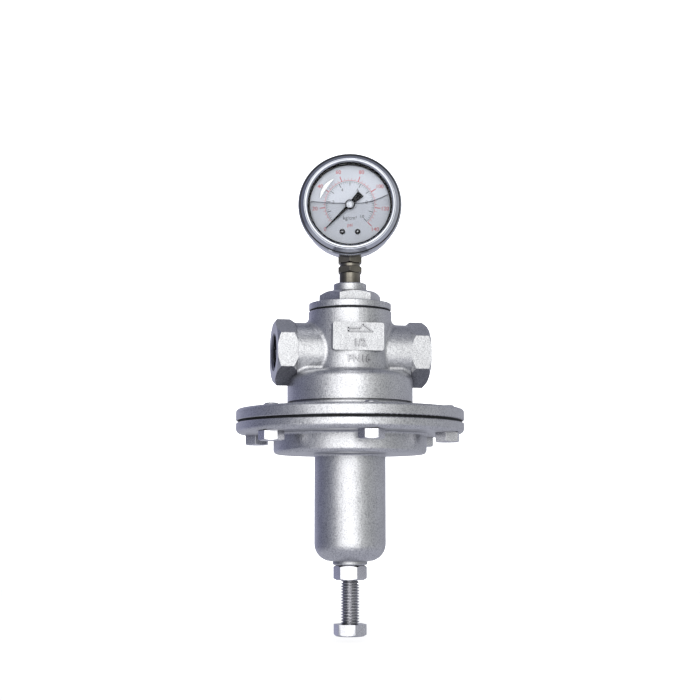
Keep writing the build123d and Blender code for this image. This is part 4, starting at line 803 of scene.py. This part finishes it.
def build_glycerine():
    """The liquid that fills the case to just over half way, and an opaque dark strip painted as the shaded line of
    its face.
    """
    radius = LINER_R - SNUG / 2
    low, high = DIAL_DEPTH + SNUG, LENS_DEPTH[0] - SNUG
    steps = 80
    across = [-radius + 2 * radius * step / steps for step in range(steps + 1)]
    face = [Vector((x, liquid_height(x))) for x in across if math.hypot(x, liquid_height(x)) < radius]
    start = math.atan2(face[-1].y, face[-1].x)
    end = math.atan2(face[0].y, face[0].x) - 2 * math.pi
    rim = []
    for step in range(1, 2 * steps):
        angle = start + (end - start) * step / (2 * steps)
        rim.append(Vector((radius * math.cos(angle), radius * math.sin(angle))))
    fill = bmesh.new()
    prism(fill, face + rim, low, high)
    data = finished(fill, "glycerine_fill", DIAL_FRAME)
    piece("glycerine_fill", data, "valve", "clear_window", GLYCERINE)
    # painted shade: an opaque dark strip along the liquid's face
    painted_face_line = bmesh.new()
    above = [point + Vector((0, FACE_LINE)) for point in reversed(face)]
    prism(painted_face_line, above + face, low, low + FACE_DEPTH)
    data = finished(painted_face_line, "glycerine_face_painted_line", DIAL_FRAME)
    piece("glycerine_face_painted_line", data, "valve", "clear_window", MENISCUS_SHADE_LINE)


CLING_FROM, CLING_TO = 171, 121
CLING_R = 16.6 * MM
CLING_HALF_WIDTH, CLING_TAPER = 1.35 * MM, 0.6
CLING_HALF_DEPTH, CLING_BEHIND = 0.25 * MM, 0.35 * MM


def build_cling():
    """A film of liquid that clings to the window's upper left, thick in the middle, thin at its ends."""
    steps, ring_steps = 40, 16
    bm = bmesh.new()
    rings = []
    for step in range(1, steps):
        share = step / steps
        angle = math.radians(CLING_FROM + (CLING_TO - CLING_FROM) * share)
        half_width = CLING_HALF_WIDTH * math.sin(math.pi * share) ** CLING_TAPER
        ring = []
        for side in range(ring_steps):
            turn = 2 * math.pi * side / ring_steps
            radius = CLING_R + half_width * math.cos(turn)
            depth = LENS_DEPTH[0] - CLING_BEHIND + CLING_HALF_DEPTH * math.sin(turn)
            ring.append(bm.verts.new((radius * math.cos(angle), radius * math.sin(angle), depth)))
        rings.append(ring)
    skin(bm, rings)
    bm.faces.new(rings[0][::-1])
    bm.faces.new(rings[-1])
    piece("glycerine_cling", finished(bm, "glycerine_cling", DIAL_FRAME), "valve", "clear_window", CLING)


DIAL_SCREW_ROUND = 0.35 * MM
DIAL_SCREW_DOME_SHARE = 0.5
DIAL_SCREW_DOME_RISE, DIAL_SCREW_DOME_SINK = 0.22 * MM, 0.12 * MM


def build_dial_screws():
    """Two pan heads, which are one CAD node: black rims, painted shade for the dark reflection round each head's
    edge, round bright domes.
    """
    low, high = reach("dial_screws", GAUGE_CENTRE, GAUGE_OUT)
    most = reach("dial_screws", GAUGE_CENTRE, GAUGE_RIGHT)[1]
    bottom, top = reach("dial_screws", GAUGE_CENTRE, UP)
    radius, height = (top - bottom) / 2, (top + bottom) / 2
    rim = rounded([(0, low), (radius, low), (radius, high, DIAL_SCREW_ROUND), (0, high)])
    base = high - DIAL_SCREW_DOME_SINK
    dome = dome_line(radius * DIAL_SCREW_DOME_SHARE, base, DIAL_SCREW_DOME_RISE, low, steps=8)
    for name, side in (("left", -1), ("right", 1)):
        place = DIAL_FRAME @ Matrix.Translation((side * (most - radius), height, 0))
        # painted shade: the head's outer ring is black paint in place of the dark reflection on its curved edge
        outer = lathe(f"dial_screw_{name}_rim", rim, place, 64)
        made = piece(f"dial_screw_{name}_rim", outer, "valve", "black_paint")
        inner = lathe(f"dial_screw_{name}_dome", dome, place, 48)
        bright = MATERIALS["bright_fasteners"]
        piece(f"dial_screw_{name}_dome", inner, "valve", "machined_stainless", bright)
    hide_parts("dial_screws")


build_bezel()
build_window()
build_liner()
build_glycerine()
build_cling()
build_dial_screws()


# ------------------------------------------------------------------ cast marks
PAD_FACE = 23.5 * MM  # out from the valve's axis, as is the neck's radius
NECK_R = 23.0 * MM
MARK_HEIGHT, MARK_ROOT = 0.6 * MM, 0.05 * MM
MARK_LETTER, MARK_BOLDNESS = 3.9 * MM, 0.09 * MM
MARK_LINE = 0.6 * MM
ARROW_LOW, ARROW_HIGH = 9.7 * MM, 11.4 * MM
ARROW_TAIL, ARROW_TIP, ARROW_NOTCH = -5.6 * MM, 7.6 * MM, 0.6 * MM
ARROW_BARB = (2.4 * MM, 13.3 * MM)
SIZE_AT, CLASS_AT = (0.6 * MM, 3.5 * MM), (0.4 * MM, -5.0 * MM)


def build_pad_marks():
    """A flow arrow, drawn as its outline with one barb, and the pipe size, raised on the pad."""
    low, high = PAD_FACE - MARK_ROOT, PAD_FACE + MARK_HEIGHT
    marks = bmesh.new()
    arrow = [
        (ARROW_TAIL, ARROW_LOW),
        (ARROW_TIP, ARROW_LOW),
        ARROW_BARB,
        (ARROW_NOTCH, ARROW_HIGH),
        (ARROW_TAIL, ARROW_HIGH),
    ]
    for index, corner in enumerate(arrow):
        start, end = Vector(corner), Vector(arrow[(index + 1) % len(arrow)])
        along = (end - start).normalized() * MARK_LINE / 2
        across = Vector((-along.y, along.x))
        start, end = start - along, end + along
        prism(marks, [start - across, end - across, end + across, start + across], low, high)
    lettering(marks, "1/2", MARK_LETTER, SIZE_AT, low, high, MARK_BOLDNESS)
    data = finished(marks, "pad_marks", FRONT_FRAME)
    piece("pad_marks", data, "valve", "cast_stainless", MARK_METAL)


def build_neck_marks():
    """The pressure class, raised on the round neck below the pad and wrapped about it."""
    marks = bmesh.new()
    lettering(marks, "PN16", MARK_LETTER, CLASS_AT, -MARK_ROOT, MARK_HEIGHT, MARK_BOLDNESS)
    for vertex in marks.verts:
        angle = vertex.co.x / NECK_R
        radius = NECK_R + vertex.co.z
        vertex.co = Vector((radius * math.sin(angle), vertex.co.y, radius * math.cos(angle)))
    data = finished(marks, "neck_marks", FRONT_FRAME)
    piece("neck_marks", data, "valve", "cast_stainless", MARK_METAL)


build_pad_marks()
build_neck_marks()


# ------------------------------------------------------------------ camera
VIEW_AZIMUTH = -11.5  # of the photo: from the front, a little to the left
VIEW_DISTANCE = 779 * MM
VIEW_HEIGHT = -85.7 * MM
VIEW_PITCH = 6.43
VIEW_ROLL = -0.02
LENS_LENGTH, SENSOR_WIDTH = 73.03, 36  # the camera's own millimetres
CLIP_START, CLIP_END = 0.05, 30


def facing(azimuth, elevation):
    """The direction from the valve towards an azimuth and an elevation."""
    a, e = math.radians(azimuth), math.radians(elevation)
    return Vector((math.sin(a) * math.cos(e), -math.cos(a) * math.cos(e), math.sin(e)))


def build_camera():
    """The photo's view of the valve."""
    camera = bpy.data.objects.new("camera", bpy.data.cameras.new("camera"))
    bpy.context.scene.collection.objects.link(camera)
    camera.data.lens = LENS_LENGTH
    camera.data.sensor_width = SENSOR_WIDTH
    camera.data.clip_start, camera.data.clip_end = CLIP_START, CLIP_END
    place = Vector((VALVE_X, 0, 0)) + facing(VIEW_AZIMUTH, 0) * VIEW_DISTANCE
    place.z = VIEW_HEIGHT
    turn = Matrix.Rotation(math.radians(VIEW_AZIMUTH), 4, "Z")
    tilt = Matrix.Rotation(math.radians(90 + VIEW_PITCH), 4, "X")
    roll = Matrix.Rotation(math.radians(VIEW_ROLL), 4, "Z")
    camera.matrix_world = Matrix.Translation(place) @ turn @ tilt @ roll
    bpy.context.scene.camera = camera


build_camera()


# ------------------------------------------------------------------ lights
LIGHT_TARGET = Vector((VALVE_X, 0, -30 * MM))

# the room's brightness by azimuth from the camera's, then overhead and underfoot
ROOM_AROUND = (
    (-180, (0.48, 0.49, 0.56)),
    (-150, (0.53, 0.54, 0.7)),
    (-115, (0.22, 0.23, 0.34)),
    (-92, (0.21, 0.22, 0.29)),
    (-68, (0.26, 0.27, 0.33)),
    (-44, (0.55, 0.56, 0.6)),
    (-28, (1.9, 1.9, 1.9)),
    (16, (2.05, 2.05, 2.03)),
    (28, (1.08, 1.09, 1.08)),
    (42, (0.74, 0.75, 0.74)),
    (60, (0.48, 0.49, 0.49)),
    (97, (0.52, 0.53, 0.57)),
    (150, (0.46, 0.47, 0.53)),
    (179.9, (0.48, 0.49, 0.56)),
)
ROOM_ABOVE = (0.25, 0.26, 0.31)
ROOM_BELOW = (0.52, 0.53, 0.6)
# the sines of the elevations between which the walls pass into each
ABOVE_FROM, ABOVE_TO = 0.5, 0.85
BELOW_FROM, BELOW_TO = -0.2, -0.5


def build_room():
    """A soft studio all round: a broad bright front, a darker left, paler right and back."""
    world = bpy.data.worlds.new("studio")
    bpy.context.scene.world = world
    graph = Graph(world, "ShaderNodeOutputWorld")
    direction = graph.add("ShaderNodeTexCoord").outputs["Generated"]
    camera_ahead = (0, 0, math.radians(90 - VIEW_AZIMUTH))
    turned = graph.add("ShaderNodeMapping", {"vector_type": "POINT"}, Vector=direction, Rotation=camera_ahead)
    around = graph.add("ShaderNodeTexGradient", {"gradient_type": "RADIAL"}, Vector=turned.outputs["Vector"])
    stops = [(0.5 + azimuth / 360, colour) for azimuth, colour in ROOM_AROUND]
    walls = graph.ramp(around.outputs["Fac"], *stops)
    height = graph.add("ShaderNodeSeparateXYZ", Vector=direction).outputs["Z"]
    room = graph.mix(graph.spread(height, 0.0, 1.0, ABOVE_FROM, ABOVE_TO), walls, ROOM_ABOVE)
    room = graph.mix(graph.spread(height, 0.0, 1.0, BELOW_FROM, BELOW_TO), room, ROOM_BELOW)
    graph.surface(graph.add("ShaderNodeBackground", Color=room))


def build_panel(name, azimuth, elevation, distance, width, height, radiance, colour):
    """A soft rectangular light that the camera doesn't see; the azimuth is counted from the camera's."""
    light = bpy.data.lights.new(name, "AREA")
    light.shape = "RECTANGLE"
    light.size, light.size_y = width, height
    light.energy = radiance * math.pi * width * height
    light.color = colour
    obj = bpy.data.objects.new(name, light)
    bpy.context.scene.collection.objects.link(obj)
    direction = facing(VIEW_AZIMUTH + azimuth, elevation)
    obj.location = LIGHT_TARGET + direction * distance
    obj.rotation_mode = "QUATERNION"
    obj.rotation_quaternion = direction.to_track_quat("Z", "Y")
    obj.visible_camera = False


KEY = {"azimuth": 3, "elevation": 6, "distance": 1.3, "width": 0.6, "height": 1.2}
TOP = {"azimuth": 4, "elevation": 74, "distance": 1.2, "width": 0.22, "height": 0.3}

build_room()
build_panel("key_softbox", radiance=0.3, colour=(1, 1, 0.99), **KEY)
build_panel("top_strip", radiance=3.2, colour=WHITE, **TOP)


# ------------------------------------------------------------------ stage
SCREW_DROP = 3.2 * MM  # a little more than the screw can be unscrewed from its place at rest
FLOOR_R, FLOOR_THICKNESS = 600 * MM, 2 * MM
FLOOR_COLOUR, FLOOR_GLOW = (0.3, 0.3, 0.3), 2.95
BACKDROP_R, BACKDROP_GLOW = 6, 1.1
UNSEEN = ("diffuse", "glossy", "transmission", "shadow", "volume_scatter")  # rays that miss the backdrop


def stage_material(name, colour, glow):
    """Matt and faintly clouded, with a glow of its own."""
    graph = material_graph(name)
    shade = graph.ramp(graph.noise(400 * MM), (0.3, tinted(colour, 0.99)), (0.7, colour))
    matt = graph.add("ShaderNodeBsdfDiffuse", Color=shade)
    light = graph.add("ShaderNodeEmission", Color=shade, Strength=glow)
    return graph.surface(graph.blend("ShaderNodeAddShader", matt, light))


def build_stage():
    """A pale floor just under the screw's lowest reach, and a white backdrop that only the camera sees."""
    top = CAD_BOX[0].z - SCREW_DROP
    under = top - FLOOR_THICKNESS
    profile = [(0, under), (FLOOR_R, under), (FLOOR_R, top), (0, top)]
    floor = bpy.data.objects.new("floor", lathe("floor", profile, VALVE_FRAME, 96))
    floor.data.materials.append(stage_material("floor_white", FLOOR_COLOUR, FLOOR_GLOW))
    floor.visible_glossy = floor.visible_diffuse = False
    bpy.context.scene.collection.objects.link(floor)
    shell = bmesh.new()
    bmesh.ops.create_uvsphere(shell, u_segments=64, v_segments=32, radius=BACKDROP_R)
    backdrop = bpy.data.objects.new("backdrop", finished(shell, "backdrop"))
    backdrop.data.materials.append(stage_material("backdrop_white", WHITE, BACKDROP_GLOW))
    for rays in UNSEEN:
        setattr(backdrop, f"visible_{rays}", False)
    bpy.context.scene.collection.objects.link(backdrop)


build_stage()
bpy.context.scene.view_settings.view_transform = "Standard"
